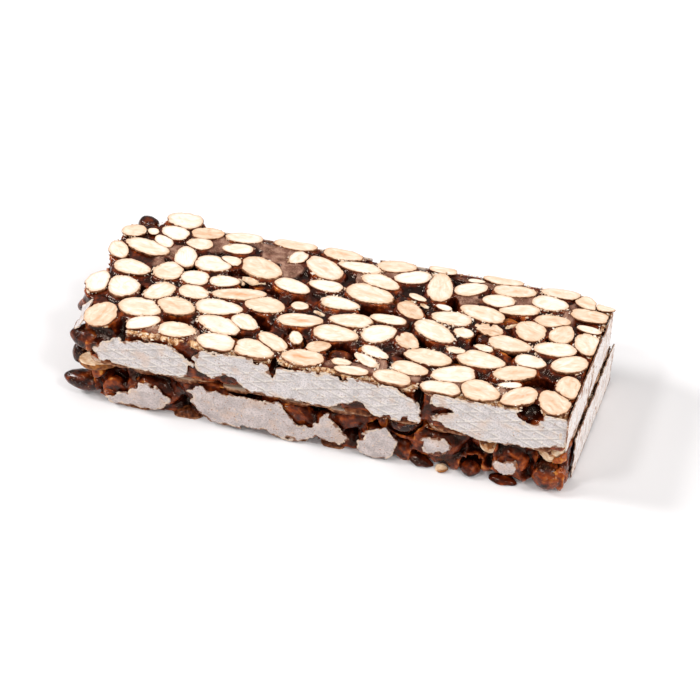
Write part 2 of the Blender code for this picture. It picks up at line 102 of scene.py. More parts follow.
# Almonds that the top saw line cut: x, y, length, width, turn in degrees, paleness, and how strong the
# tan mark in the middle is.
TOP_ALMONDS = [
    (-96.2, -9.3, 14.5, 10.0, 100, 0.9, 0.0),
    (-85.5, -9.6, 14.8, 12.2, -35, 0.9, 0.1),
    (-70.2, -8.9, 13.6, 9.8, 50, 0.6, 0.1),
    (-73.4, -20.3, 18.4, 10.8, 0, 0.5, 0.3),
    (-86.7, -28.4, 15.2, 13.0, 80, 0.2, 0.8),
    (-69.8, -29.0, 15.2, 7.4, 32, 0.9, 0.0),
    (-60.6, -16.0, 16.8, 10.4, -5, 0.4, 0.8),
    (-57.0, -5.6, 13.0, 8.4, -8, 0.7, 0.2),
    (-55.0, -29.3, 15.6, 8.7, 3, 0.5, 0.2),
    (-77.7, 38.7, 16.2, 10.4, -4, 0.8, 0.1),
    (-95.2, 25.9, 10.8, 7.8, 12, 0.3, 0.2),
    (-87.2, 27.5, 5.2, 4.2, -20, 0.7, 0.0),
    (-78.2, 29.2, 13.2, 8.8, -15, 0.95, 0.0),
    (-80.6, 22.4, 10.2, 6.4, -38, 0.8, 0.0),
    (-86.0, 17.2, 21.2, 8.8, -12, 0.6, 0.3),
    (-96.2, 12.1, 12.8, 8.0, -48, 0.7, 0.1),
    (-65.0, 32.6, 14.6, 7.4, 8, 0.1, 0.5),
    (-66.0, 24.8, 11.4, 7.3, 2, 0.7, 0.2),
    (-68.2, 15.0, 14.8, 9.2, 110, 0.95, 0.0),
    (-56.0, 13.6, 15.8, 10.2, 0, 0.8, 0.2),
    (-71.7, 4.2, 12.4, 11.6, 30, 0.6, 0.4),
    (-59.9, 3.0, 12.4, 9.0, -5, 0.8, 0.1),
    (-86.3, 2.6, 16.4, 9.0, -6, 0.8, 0.1),
    (-50.0, 26.0, 13.2, 6.6, 8, 0.8, 0.1),
    (-49.8, 17.8, 9.8, 5.4, -12, 0.5, 0.1),
    (-50.0, 33.8, 16.8, 6.8, 8, 0.6, 0.3),
    (-39.3, -2.0, 24.0, 7.2, 12, 0.5, 1.0),
    (-27.6, -5.3, 16.8, 10.0, -4, 0.3, 0.3),
    (-44.2, -12.0, 20.2, 9.2, 6, 0.9, 0.2),
    (-31.6, -17.8, 12.4, 8.2, -28, 0.7, 0.1),
    (-40.8, -22.2, 19.2, 9.8, -15, 0.7, 0.2),
    (-38.2, -32.0, 16.0, 10.4, -3, 0.6, 0.2),
    (-23.0, -32.0, 16.8, 9.8, -10, 0.6, 0.2),
    (-17.7, -25.8, 15.2, 7.2, -30, 0.5, 0.4),
    (-4.3, -31.3, 16.8, 9.0, 3, 0.3, 1.0),
    (-11.5, -10.5, 18.4, 7.9, 10, 0.6, 1.0),
    (-10.0, -21.0, 8.2, 5.0, -62, 0.7, 0.0),
    (-14.3, -2.3, 7.2, 5.0, 5, 0.5, 0.4),
    (-28.5, 35.4, 19.6, 7.2, 3, 0.3, 0.4),
    (-7.5, 34.3, 17.6, 7.2, -2, 0.4, 0.7),
    (-24.5, 27.2, 9.4, 7.2, 60, 0.6, 0.1),
    (-12.7, 23.8, 19.8, 10.8, -33, 0.6, 0.7),
    (1.0, 28.3, 19.4, 6.4, -3, 0.8, 0.2),
    (-36.3, 16.4, 19.8, 11.8, -20, 0.4, 0.4),
    (-21.0, 8.9, 16.4, 7.6, -15, 0.9, 0.2),
    (-8.6, 12.9, 14.6, 7.0, -3, 0.8, 0.1),
    (-47.8, 4.3, 12.8, 7.0, 8, 0.7, 0.1),
    (7.0, -5.3, 17.8, 8.0, 8, 0.6, 0.2),
    (4.0, -14.4, 18.4, 9.3, 3, 0.7, 0.2),
    (19.8, -9.8, 14.6, 10.4, 32, 0.9, 0.0),
    (20.6, -0.5, 15.8, 5.4, 0, 0.7, 0.1),
    (31.2, -10.8, 12.4, 7.8, -40, 0.0, 0.3),
    (39.7, -2.6, 18.8, 9.8, -25, 0.6, 0.2),
    (50.5, -0.3, 8.2, 5.6, -10, 0.8, 0.0),
    (21.4, -21.0, 12.6, 5.2, -18, 0.8, 0.0),
    (19.0, -26.0, 11.6, 5.0, -28, 0.6, 0.1),
    (40.7, -17.9, 19.2, 8.9, -3, 0.6, 0.2),
    (36.5, -26.3, 15.2, 7.3, -3, 0.6, 0.1),
    (10.8, -29.8, 8.2, 3.8, 0, 0.4, 0.0),
    (15.6, -33.3, 14.0, 4.9, 3, 0.5, 0.2),
    (31.0, -33.0, 14.8, 8.4, -6, 0.5, 0.2),
    (49.6, -33.6, 16.0, 7.8, 3, 0.6, 0.2),
    (52.3, -24.8, 17.8, 9.2, 20, 0.8, 0.1),
    (50.5, -11.2, 8.4, 3.7, -3, 0.4, 0.0),
    (60.8, -14.0, 19.8, 9.3, -3, 0.6, 0.1),
    (0.0, -23.5, 9.8, 6.2, 25, 0.1, 0.2),
    (15.3, 32.6, 16.8, 7.4, 10, 0.4, 0.3),
    (23.0, 27.6, 16.2, 8.0, 22, 0.95, 0.0),
    (11.8, 21.4, 17.0, 8.4, -14, 0.7, 0.2),
    (9.7, 12.8, 20.4, 11.0, -8, 0.6, 0.5),
    (33.5, 35.7, 12.6, 4.8, -2, 0.4, 0.2),
    (35.1, 24.7, 18.8, 10.2, 100, 0.5, 0.4),
    (47.2, 26.8, 14.2, 7.9, 28, 0.8, 0.2),
    (48.0, 32.6, 7.2, 2.4, 5, 0.6, 0.0),
    (58.0, 36.4, 18.2, 7.0, -2, 0.4, 0.5),
    (28.3, 15.8, 8.2, 3.2, -18, 0.5, 0.0),
    (27.7, 7.3, 13.4, 7.8, -35, 0.1, 0.3),
    (39.5, 12.7, 6.8, 3.2, -12, 0.7, 0.0),
    (43.8, 6.9, 17.0, 8.0, 2, 0.5, 0.3),
    (54.6, 13.3, 19.2, 8.9, -10, 0.5, 0.4),
    (0.3, 3.6, 16.8, 7.3, -2, 0.8, 0.1),
    (59.0, 22.6, 13.2, 8.0, 3, 0.8, 0.1),
    (59.8, -6.8, 7.8, 3.7, -10, 0.5, 0.0),
    (69.0, -1.9, 17.2, 8.4, -2, 0.4, 0.6),
    (78.5, -9.8, 12.4, 7.4, -4, 0.7, 0.2),
    (85.8, -0.2, 17.2, 8.4, 8, 0.8, 0.2),
    (92.6, -7.2, 15.0, 9.2, 28, 0.6, 0.1),
    (74.4, -17.7, 17.4, 8.2, 18, 0.4, 0.7),
    (95.0, -19.9, 12.6, 10.2, 100, 0.1, 0.4),
    (64.3, -31.0, 15.4, 10.8, -8, 0.5, 0.7),
    (78.3, -30.3, 15.4, 9.2, 38, 0.4, 1.0),
    (91.0, -29.4, 14.0, 11.2, -48, 0.1, 0.4),
    (73.8, -24.8, 9.4, 3.2, 16, 0.9, 0.0),
    (64.0, 30.6, 17.8, 7.6, 6, 0.5, 0.7),
    (81.8, 33.9, 17.2, 5.8, 2, 0.5, 0.4),
    (79.0, 26.5, 15.0, 9.1, -2, 0.8, 0.1),
    (92.8, 31.0, 11.0, 7.0, -28, 0.3, 0.2),
    (99.6, 30.2, 11.4, 4.8, 3, 0.5, 0.1),
    (95.2, 23.4, 16.0, 7.8, -3, 0.4, 0.3),
    (68.2, 19.4, 17.8, 6.4, 17, 0.4, 0.3),
    (81.8, 16.3, 14.8, 7.0, 8, 0.2, 0.4),
    (86.8, 9.6, 11.8, 9.2, 75, 0.3, 0.3),
    (74.7, 8.0, 12.8, 11.6, -35, 0.3, 0.4),
    (96.0, 15.0, 10.2, 3.9, -8, 0.6, 0.0),
    (97.4, 6.4, 13.2, 10.9, -60, 0.5, 0.3),
    (59.2, 5.0, 11.8, 6.8, -10, 0.0, 0.3),
]
# Where the saw met solid caramel on top, level with the almonds: x, y and half sizes.
TOP_CARAMEL = [
    (-85, 10, 9, 3.6),
    (-74, 18, 2.8, 4.5),
    (-58, 27, 3.4, 5),
    (-33, 28.5, 6.5, 6),
    (-25.5, 20, 4.5, 5),
    (-39, 31.5, 6, 3),
    (13, 28.8, 4.5, 2.4),
    (4, 22, 2.5, 3.5),
    (45.5, 35, 6, 3),
    (47, 21, 4.5, 3.5),
    (54, 32.5, 3.5, 2),
    (69, 26, 4.5, 3.6),
    (71, 36, 5, 1.6),
    (87.5, 22, 2.4, 6),
    (-94, -19.5, 6, 3),
    (-66, -31.5, 4.5, 4),
    (-47.5, -31, 2, 3.5),
    (7, -33, 2, 4),
    (18, -30.2, 6, 2),
    (24.5, -28, 3, 4),
    (71.5, -28, 2, 3),
    (54.5, -29, 4, 1.4),
    (39, -30, 2.5, 3),
    (-14, -31, 2, 4),
]

# Whole almonds in their skins that lie in the gaps of the top: x, y, length, width, turn, how far
# below the saw line, and redness.
TOP_WHOLE_ALMONDS = [
    (-10.5, -21.3, 13.0, 8.0, -55, 0.9, 0.9),
    (29.5, -20.5, 11.0, 7.0, -10, 1.0, 0.3),
    (24.0, 14.8, 11.0, 6.5, 20, 0.5, 1.0),
    (35.5, 10.6, 6.5, 5.5, 0, 0.6, 0.5),
    (66.5, 13.0, 9.0, 6.0, -10, 0.7, 1.0),
    (59.0, 1.0, 8.0, 5.0, 0, 0.8, 0.8),
    (-44.0, 11.0, 9.0, 6.0, 10, 2.0, 0.4),
    (-30.0, 3.0, 10.0, 6.0, 0, 1.8, 0.6),
    (8.0, -22.5, 11.0, 7.0, 15, 1.6, 0.8),
    (-33.0, -27.0, 10.0, 6.0, 0, 1.8, 0.9),
    (53.0, -17.5, 10.0, 6.0, 10, 1.6, 0.9),
    (-66.0, 9.5, 9.0, 6.0, 0, 2.0, 0.3),
    (83.5, -20.0, 12.0, 8.0, 20, 3.2, 0.5),
    (86.0, 5.0, 9.0, 6.0, 0, 1.6, 0.4),
]
# More almonds that stand out, given by their middles: x, y, z, length, width, thickness, turn, and
# redness, or none where the almond is broken open.
LOOSE_ALMONDS = [
    (-93.0, 36.4, 35.6, 9.0, 8.0, 8.0, 30, 0.35),
    (-97.3, -28.0, 17.0, 8.0, 7.0, 9.0, 10, 0.25),
    (-88.2, -33.0, 18.9, 15.4, 8.4, 6.6, 4, None),
]
# Caramel that stands out at the broken corner of a slice: centre and half sizes.
CARAMEL_LUMPS = {
    "upper": [(-94.2, -31.4, 29.0, 7.0, 5.4, 6.0), (-90.0, -30.0, 33.0, 5.0, 5.0, 4.0)],
    "lower": [
        (-91.0, -32.4, 14.5, 5.0, 4.0, 4.0), (-81.5, -33.6, 7.5, 4.5, 4.0, 5.5),
        (43.7, -32.4, 3.8, 6.0, 3.4, 3.6), (53.0, -33.4, 2.8, 4.5, 3.4, 2.6),
        (62.8, -31.6, 5.2, 5.5, 4.0, 3.9), (75.5, -32.8, 2.8, 7.0, 3.8, 2.7),
    ],
}
# Caramel that fills the joint between the two slices at the right-hand end.
CARAMEL_LUMPS["upper"] += [(98.6, y, 22.2, 2.6, 6.5, 1.5) for y in range(-33, 28, 9)]
CARAMEL_LUMPS["lower"] += [(100.9, y, 19.2, 2.4, 6.5, 1.9) for y in range(-22, 33, 9)]
# How red the skins of some standing almonds are, 0 to 1, and those whose flesh is bare.
SKIN_REDNESS = {
    "lower_almond_tip_left": 0.45,
    "lower_almond_front_2": 0.75,
    "lower_almond_front_5": 0.95,
    "lower_almond_front_9": 0.85,
    "lower_almond_front_10": 0.95,
    "lower_almond_front_12": 0.60,
    "lower_almond_front_14": 0.90,
    "lower_almond_front_15": 0.95,
    "lower_almond_corner": 0.70,
    "upper_almond_back_left": 0.35,
    "upper_almond_front_left": 0.65,
}
BARE_ALMONDS = ("lower_almond_front_11", "lower_almond_front_13", "lower_almond_corner_top")
# Small ones on the floor that clear orange caramel covers.
COATED_ALMONDS = ("lower_almond_front_10", "lower_almond_front_12", "lower_almond_front_15")
# Pale splinters that stand in the gaps of the top: x, y, length, width, turn and lean in degrees.
SHARDS = [
    (-38.5, 8.5, 7.5, 2.6, -12, 35),
    (-34.5, 7.0, 5.5, 1.8, 20, -30),
    (-41.5, 6.5, 4.5, 1.6, -40, 50),
    (-8.5, 18.0, 4.5, 1.4, 30, 40),
    (-6.0, -4.0, 5.0, 1.6, -15, 40),
    (26.0, 13.0, 4.5, 1.3, 10, -40),
    (67.0, 9.5, 5.0, 1.5, 40, 30),
    (32.0, 12.0, 4.0, 1.4, -20, 50),
]
# Where the lower slice's sawn top shows as a ledge under the upper slice: stretches of x.
SEAM_LEDGES = [(-47, -33), (-22, -12), (2, 14), (44, 64)]
# Hollows in the upper slice's front: centre and half sizes.
HOLLOWS = [
    (-86.5, -36.6, 34.4, 9.8, 6.5, 4.6),
    (84.0, -36.0, 36.7, 4.6, 6.0, 3.5),
]

# ---- Numbers and fields -------------------------------------------------------------------------
def smoothstep(low, high, value):
    """0 below low, 1 above high, with a smooth rise between."""
    t = np.clip((value - low) / (high - low), 0, 1)
    return t * t * (3 - 2 * t)


def noise_at(points, size, seed):
    """Smooth noise from -1 to 1 at points of 2 or 3 coordinates, with features about size wide."""
    points = np.asarray(points, float) / size + 1000
    cell = np.floor(points).astype(np.int64)
    share = points - cell
    share = share * share * (3 - 2 * share)
    table = np.random.default_rng(seed).uniform(-1, 1, 4096)
    primes = np.array([73856093, 19349663, 83492791])[: points.shape[-1]]
    total = np.zeros(points.shape[:-1])
    for corner in np.ndindex(*(2,) * points.shape[-1]):
        corner = np.array(corner)
        weight = np.prod(np.where(corner, share, 1 - share), axis=-1)
        total += weight * table[((cell + corner) * primes).sum(-1) % 4096]
    return total


def blur(field, passes):
    """Softens a 2-D field, each pass by about one grid step."""
    for _ in range(passes):
        padded = np.pad(field, 1, mode="edge")
        field = (padded[:-2, 1:-1] + padded[2:, 1:-1] + padded[1:-1, :-2] + padded[1:-1, 2:]) / 8 + field / 2
    return field


def polygon_distance(x, y, loop):
    """How far each point is outside the closed loop, negative inside it."""
    best = np.full(x.shape, 1e9)
    inside = np.zeros(x.shape, bool)
    for (x0, y0), (x1, y1) in zip(loop, np.roll(loop, -1, axis=0)):
        dx, dy = x1 - x0, y1 - y0
        t = np.clip(((x - x0) * dx + (y - y0) * dy) / max(dx * dx + dy * dy, 1e-9), 0, 1)
        best = np.minimum(best, (x - x0 - t * dx) ** 2 + (y - y0 - t * dy) ** 2)
        if y0 != y1:
            crosses = ((y0 > y) != (y1 > y)) & (x < (y - y0) / (y1 - y0) * dx + x0)
            inside ^= crosses
    return np.where(inside, -1, 1) * np.sqrt(best)


def surface_net(field, low, step):
    """Points and quads of the surface where a 3-D field crosses zero; it is negative inside."""
    inside = field < 0
    shape = np.array(field.shape)
    corners = [np.array(c) for c in np.ndindex(2, 2, 2)]

    def corner_block(values, corner):
        return values[tuple(slice(c, c + n - 1) for c, n in zip(corner, shape))]

    count = sum(corner_block(inside, c).astype(np.int8) for c in corners)
    cells = np.argwhere((count > 0) & (count < 8))
    total = np.zeros((len(cells), 3))
    hits = np.zeros(len(cells))
    for a in corners:
        for axis in np.flatnonzero(a == 0):
            b = a.copy()
            b[axis] = 1
            value_a = field[tuple((cells + a).T)]
            value_b = field[tuple((cells + b).T)]
            crossed = (value_a < 0) != (value_b < 0)
            t = np.where(crossed, value_a / np.where(crossed, value_a - value_b, 1), 0)
            point = a + t[:, None] * (b - a)
            total += point * crossed[:, None]
            hits += crossed
    points = low + (cells + total / hits[:, None]) * step
    number = np.full(shape - 1, -1, np.int64)
    number[tuple(cells.T)] = np.arange(len(cells))
    quads = []
    for axis in range(3):
        one = np.eye(3, dtype=int)[axis]
        here = inside[tuple(slice(0, n - o) for n, o in zip(shape, one))]
        there = inside[tuple(slice(o, n) for n, o in zip(shape, one))]
        edges = np.argwhere(here != there)
        u, v = np.eye(3, dtype=int)[[(axis + 1) % 3, (axis + 2) % 3]]
        edges = edges[((edges > 0) | (one == 1)).all(1) & (edges < shape - 1).all(1)]
        ring = [number[tuple((edges - shift).T)] for shift in (u + v, v, 0 * u, u)]
        quad = np.stack(ring, 1)
        leaving = here[tuple(edges.T)]
        quad[~leaving] = quad[~leaving][:, ::-1]
        quads.append(quad)
    quads = np.concatenate(quads)
    return points, quads[(quads >= 0).all(1)]


def standing_out(points, quads, passes=24):
    """For each point from 0 in a hollow, over 0.5 where it is flat, to 1 on a ridge."""
    a, b, c, d = (points[quads[:, i]] for i in range(4))
    crosses = np.cross(c - a, d - b)
    count = len(points)

    def gathered(index, values):
        return np.stack([np.bincount(index, values[:, i], count) for i in range(3)], 1)

    normals = gathered(quads.ravel(), np.repeat(crosses, 4, axis=0))
    normals /= np.maximum(np.linalg.norm(normals, axis=1), 1e-9)[:, None]
    here, there = quads.ravel(), np.roll(quads, -1, axis=1).ravel()
    around = np.maximum(np.bincount(here, minlength=count), 1)[:, None]
    smooth = points
    for _ in range(passes):
        smooth = (smooth + gathered(here, smooth[there]) / around) / 2
    return np.clip(0.5 + 0.45 * ((points - smooth) * normals).sum(1), 0, 1)


# ---- Meshes -------------------------------------------------------------------------------------
def make_piece(name, points, faces, material, replaced=(), slot="caramel", **attributes):
    """A piece of the bar from points in mm, with one number or vector for each point per attribute."""
    mesh = bpy.data.meshes.new(name)
    mesh.from_pydata((np.asarray(points) * MM).tolist(), [], [list(f) for f in faces])
    for key, values in attributes.items():
        values = np.asarray(values, np.float32)
        if values.ndim == 1:
            mesh.attributes.new(key, "FLOAT", "POINT").data.foreach_set("value", values)
        else:
            mesh.attributes.new(key, "FLOAT_VECTOR", "POINT").data.foreach_set("vector", values.ravel())
    mesh.shade_smooth()
    mesh.materials.append(material)
    piece = bpy.data.objects.new(name, mesh)
    bpy.context.scene.collection.objects.link(piece)
    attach(piece, "root")
    if replaced:
        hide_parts(*replaced)
    return piece


def cad_mesh(node):
    """A CAD node's points in mm, and its triangles."""
    mesh = NODES[node].data
    mesh.calc_loop_triangles()
    points = np.array([v.co for v in mesh.vertices]) / MM
    return points, np.array([t.vertices for t in mesh.loop_triangles])


def welded(points, triangles):
    """The same triangles with points that coincide made one."""
    keys = np.round(points * 1000).astype(np.int64)
    _, first, index = np.unique(keys, axis=0, return_index=True, return_inverse=True)
    return points[first], index.ravel()[triangles]


def face_loops(node, outward):
    """The closed outlines of a node's flat faces that look outward, longest first, and their place."""
    points, triangles = welded(*cad_mesh(node))
    a, b, c = (points[triangles[:, i]] for i in range(3))
    normals = np.cross(b - a, c - a)
    areas = np.linalg.norm(normals, axis=1)
    facing = (normals @ outward) / np.maximum(areas, 1e-9) > 0.999
    level = a @ outward
    plane = np.average(level[facing], weights=areas[facing])
    triangles = triangles[facing & (abs(level - plane) < 0.1)]
    follows = {}
    directed = {(t[i], t[(i + 1) % 3]) for t in triangles.tolist() for i in range(3)}
    for start, end in directed:
        if (end, start) not in directed:
            follows[start] = end
    loops = []
    while follows:
        start, here = follows.popitem()
        loop = [start]
        while here != start and here in follows:
            loop.append(here)
            here = follows.pop(here)
        loops.append(points[loop])
    return sorted(loops, key=len, reverse=True), plane


def tree_of(nodes):
    """A search tree over several CAD nodes, in mm."""
    points, triangles, count = [], [], 0
    for node in nodes:
        p, t = cad_mesh(node)
        points.append(p)
        triangles.append(t + count)
        count += len(p)
    return BVHTree.FromPolygons(np.concatenate(points).tolist(), np.concatenate(triangles).tolist())


def ray_heights(tree, starts, direction, missed):
    """How far along direction each ray from starts first meets the tree."""
    flat = starts.reshape(-1, 3)
    heights = np.full(len(flat), missed, float)
    way = Vector(direction)
    for i, start in enumerate(flat.tolist()):
        hit = tree.ray_cast(start, way)
        if hit[0] is not None:
            heights[i] = hit[3]
    return heights.reshape(starts.shape[:-1])


def ring_faces(rings, around, closed_start=True, closed_end=True):
    """Faces of a tube of rings with the same number of points, closed by fans at its ends."""
    faces = []
    for r in range(rings - 1):
        for k in range(around):
            a, b = r * around + k, r * around + (k + 1) % around
            faces.append((a, b, b + around, a + around))
    if closed_start:
        faces.append(tuple(range(around))[::-1])
    if closed_end:
        faces.append(tuple(range((rings - 1) * around, rings * around)))
    return faces


def joined(parts):
    """One list of points, faces and attributes from many (points, faces, attributes)."""
    points, faces, attributes, count = [], [], {}, 0
    for part_points, part_faces, part_attributes in parts:
        points.append(part_points)
        faces.extend(tuple(i + count for i in face) for face in part_faces)
        for key, values in part_attributes.items():
            attributes.setdefault(key, []).append(values)
        count += len(part_points)
    return np.concatenate(points), faces, {k: np.concatenate(v) for k, v in attributes.items()}


# ---- Materials ----------------------------------------------------------------------------------
class Material:
    """A Principled material with short ways to add the nodes that these looks need."""

    def __init__(self, name, roughness, coat=0.0, coat_roughness=0.1):
        self.material = bpy.data.materials.new(name)
        self.material.use_nodes = True
        self.tree = self.material.node_tree
        self.shader = self.tree.nodes["Principled BSDF"]
        self.shader.inputs["Roughness"].default_value = roughness
        self.shader.inputs["Coat Weight"].default_value = coat
        self.shader.inputs["Coat Roughness"].default_value = coat_roughness
        self.place = self.tree.nodes.new("ShaderNodeTexCoord").outputs["Object"]

    def link(self, source, target):
        self.tree.links.new(source, target)

    def attribute(self, name, output="Fac"):
        node = self.tree.nodes.new("ShaderNodeAttribute")
        node.attribute_name = name
        return node.outputs[output]

    def noise(self, size, detail=3.0, place=None, stretch=None, distortion=0.0):
        """Noise from 0 to 1 with features about size mm wide."""
        place = place or self.place
        if stretch:
            mapping = self.tree.nodes.new("ShaderNodeMapping")
            mapping.inputs["Scale"].default_value = stretch
            self.link(place, mapping.inputs["Vector"])
            place = mapping.outputs["Vector"]
        node = self.tree.nodes.new("ShaderNodeTexNoise")
        node.inputs["Scale"].default_value = 1 / size
        node.inputs["Detail"].default_value = detail
        node.inputs["Distortion"].default_value = distortion
        self.link(place, node.inputs["Vector"])
        return node.outputs["Fac"]

    def ramp(self, value, *stops):
        """A colour ramp; each stop is (position, colour) or (position, grey)."""
        node = self.tree.nodes.new("ShaderNodeValToRGB")
        elements = node.color_ramp.elements
        while len(elements) < len(stops):
            elements.new(0.5)
        for element, (position, colour) in zip(elements, stops):
            element.position = position
            grey = isinstance(colour, (int, float))
            element.color = (colour, colour, colour, 1) if grey else (*colour, 1)
        self.link(value, node.inputs["Fac"])
        return node.outputs["Color"]

    def mix(self, share, first, second, kind="MIX"):
        """Blends two colours or colour outputs; share is a number or an output."""
        node = self.tree.nodes.new("ShaderNodeMix")
        node.data_type = "RGBA"
        node.blend_type = kind
        for socket, value in zip((node.inputs[0], node.inputs[6], node.inputs[7]), (share, first, second)):
            if isinstance(value, bpy.types.NodeSocket):
                self.link(value, socket)
            elif isinstance(value, (int, float)):
                socket.default_value = value
            else:
                socket.default_value = (*value, 1)
        return node.outputs[2]

    def maths(self, operation, *values):
        node = self.tree.nodes.new("ShaderNodeMath")
        node.operation = operation
        for socket, value in zip(node.inputs, values):
            if isinstance(value, bpy.types.NodeSocket):
                self.link(value, socket)
            else:
                socket.default_value = value
        return node.outputs["Value"]

    def bump(self, height, distance, strength=1.0):
        """Adds a height in steps of distance mm to the surface."""
        node = self.tree.nodes.new("ShaderNodeBump")
        node.inputs["Distance"].default_value = distance * MM
        node.inputs["Strength"].default_value = strength
        self.link(height, node.inputs["Height"])
        if self.shader.inputs["Normal"].links:
            self.link(self.shader.inputs["Normal"].links[0].from_socket, node.inputs["Normal"])
        self.link(node.outputs["Normal"], self.shader.inputs["Normal"])
        return node

    def colour(self, output):
        self.link(output, self.shader.inputs["Base Color"])

    def roughness(self, output):
        self.link(output, self.shader.inputs["Roughness"])


def caramel_material():
    """Dark shiny caramel with painted shade in its hollows and a painted red-orange glow on its ridges; paler and dull
    where the saw went through it.
    """
    m = Material("caramel", 0.2)
    m.shader.inputs["Specular IOR Level"].default_value = 0.30
    m.shader.inputs["Specular Tint"].default_value = (1.0, 0.80, 0.66, 1)
    sawn = m.attribute("sawn")
    crust = m.attribute("crust")
    ridge = m.attribute("ridge")
    # ridge runs from 0 in hollows to 1 on ridges: through the ramp below it paints shade into the hollows and a glow of
    # light shining through onto the ridges, while the noise gives random tone.
    depth = m.maths("ADD", m.maths("MULTIPLY", m.noise(8 * MM), 0.3), m.maths("MULTIPLY", ridge, 0.4))
    depth = m.maths("ADD", m.maths("MULTIPLY", m.noise(2.2 * MM, detail=5), 0.38), m.maths("SUBTRACT", depth, 0.04))
    tone_with_painted_glow_and_shade = m.ramp(
        depth, (0.38, (0.008, 0.0010, 0.0004)), (0.48, (0.030, 0.0036, 0.0010)),
        (0.56, (0.105, 0.0135, 0.0028)), (0.65, (0.34, 0.062, 0.009)), (0.74, (0.64, 0.24, 0.040)),
    )
    dusty = m.ramp(
        m.noise(3.5 * MM, detail=6), (0.32, (0.085, 0.028, 0.016)), (0.5, (0.22, 0.098, 0.067)),
        (0.66, (0.44, 0.25, 0.18)),
    )
    grain = m.noise(0.4 * MM, detail=3)
    dusty = m.mix(m.ramp(grain, (0.54, 0), (0.72, 0.7)), dusty, (0.74, 0.48, 0.30))
    rough = m.ramp(
        m.noise(1.6 * MM, detail=5), (0.36, (0.13, 0.036, 0.012)), (0.47, (0.40, 0.16, 0.055)),
        (0.56, (0.74, 0.46, 0.24)), (0.67, (0.88, 0.69, 0.48)),
    )
    cover = m.maths("ADD", m.maths("MULTIPLY", crust, 0.8), m.maths("MULTIPLY", m.noise(2.2 * MM, detail=4), 0.6))
    colour = m.mix(sawn, tone_with_painted_glow_and_shade, dusty)
    m.colour(m.mix(m.ramp(cover, (0.62, 0), (0.78, 1)), colour, rough))
    m.roughness(m.ramp(m.maths("MAXIMUM", sawn, crust), (0.0, 0.07), (0.6, 0.6)))
    m.bump(m.noise(1.8 * MM, detail=4), 0.45, 0.6)
    m.bump(m.noise(0.3 * MM, detail=2), 0.05, 0.5)
    return m.material


def kernel_material():
    """A sawn almond: cream flesh with fine lengthways fibres and a thin brown skin round its side."""
    m = Material("sawn_almond", 0.55)
    m.shader.inputs["Specular IOR Level"].default_value = 0.15
    rim = m.attribute("rim")
    tone = m.attribute("tone")
    cut = m.attribute("cut", "Vector")
    patch = m.noise(3.4, detail=6, place=cut, stretch=(0.6, 1.1, 1), distortion=1.4)
    shade = m.maths("ADD", m.maths("MULTIPLY", tone, 0.55), m.maths("MULTIPLY", patch, 1.35))
    shade = m.maths("SUBTRACT", shade, 0.22)
    flesh = m.ramp(
        shade, (0.24, (0.66, 0.42, 0.26)), (0.50, (0.83, 0.625, 0.45)), (0.74, (0.90, 0.765, 0.60)),
        (0.95, (0.94, 0.89, 0.79)),
    )
    fibres = m.noise(0.9, detail=4, place=cut, stretch=(0.22, 2.2, 1), distortion=0.5)
    flesh = m.mix(m.ramp(fibres, (0.47, 0), (0.72, 0.32)), flesh, (0.74, 0.44, 0.25))
    scratches = m.noise(0.6 * MM, detail=3, stretch=(0.06, 1, 1))
    flesh = m.mix(m.ramp(scratches, (0.48, 0), (0.68, 0.35)), flesh, (0.94, 0.88, 0.78))
    smudge = m.noise(2.6, detail=3, place=cut, stretch=(0.5, 1.3, 1), distortion=1.0)
    heart = m.maths("MULTIPLY", m.attribute("heart"), m.ramp(smudge, (0.3, 0.2), (0.65, 1.0)))
    flesh = m.mix(heart, flesh, (0.72, 0.31, 0.12))
    edge = m.maths("ADD", rim, m.maths("MULTIPLY", m.maths("SUBTRACT", m.noise(1.1, 3, cut), 0.5), 0.10))
    warm = m.mix(m.ramp(edge, (0.74, 0), (0.94, 0.6)), flesh, (0.76, 0.43, 0.24))
    wear = m.noise(1.6 * MM, detail=4)
    dusty_skin = m.ramp(
        wear, (0.32, (0.13, 0.040, 0.016)), (0.5, (0.30, 0.125, 0.060)), (0.68, (0.60, 0.36, 0.20))
    )
    clean_skin = m.ramp(
        wear, (0.35, (0.045, 0.010, 0.003)), (0.55, (0.16, 0.042, 0.013)), (0.72, (0.33, 0.11, 0.038))
    )
    skin = m.mix(m.ramp(m.maths("SUBTRACT", rim, 0.5), (0.53, 0), (0.62, 1)), dusty_skin, clean_skin)
    m.colour(m.mix(m.ramp(edge, (0.962, 0), (0.985, 1)), warm, skin))
    m.roughness(m.ramp(edge, (0.95, 0.6), (1.0, 0.25)))
    m.bump(fibres, 0.12, 0.6)
    m.bump(scratches, 0.05, 0.6)
    return m.material


def skin_material():
    """A whole almond in its brown skin, ribbed lengthways, under a glaze of clear caramel."""
    m = Material("glazed_almond", 0.13)
    m.shader.inputs["Specular IOR Level"].default_value = 0.3
    along = m.attribute("cut", "Vector")
    tone = m.attribute("tone")
    ribs = m.noise(1.0, detail=3, place=along, stretch=(0.25, 1.6, 1), distortion=0.3)
    patches = m.maths("MULTIPLY", m.noise(4.2 * MM, detail=3), 1.1)
    patches = m.maths("ADD", m.maths("SUBTRACT", patches, 0.27), m.maths("MULTIPLY", tone, 0.35))
    brown = m.ramp(
        patches, (0.36, (0.018, 0.0030, 0.001)), (0.50, (0.095, 0.0140, 0.0028)), (0.62, (0.25, 0.042, 0.007)),
        (0.78, (0.50, 0.135, 0.020)),
    )
    brown = m.mix(m.ramp(ribs, (0.35, 0.6), (0.6, 0)), brown, (0.022, 0.005, 0.002))
    dust = m.noise(1.3 * MM, detail=5)
    m.colour(m.mix(m.ramp(dust, (0.60, 0), (0.72, 0.55)), brown, (0.52, 0.28, 0.15)))
    m.roughness(m.ramp(dust, (0.58, 0.07), (0.70, 0.45)))
    m.bump(ribs, 0.14, 0.6)
    m.bump(m.noise(1.8 * MM, detail=3), 0.4, 0.6)
    return m.material


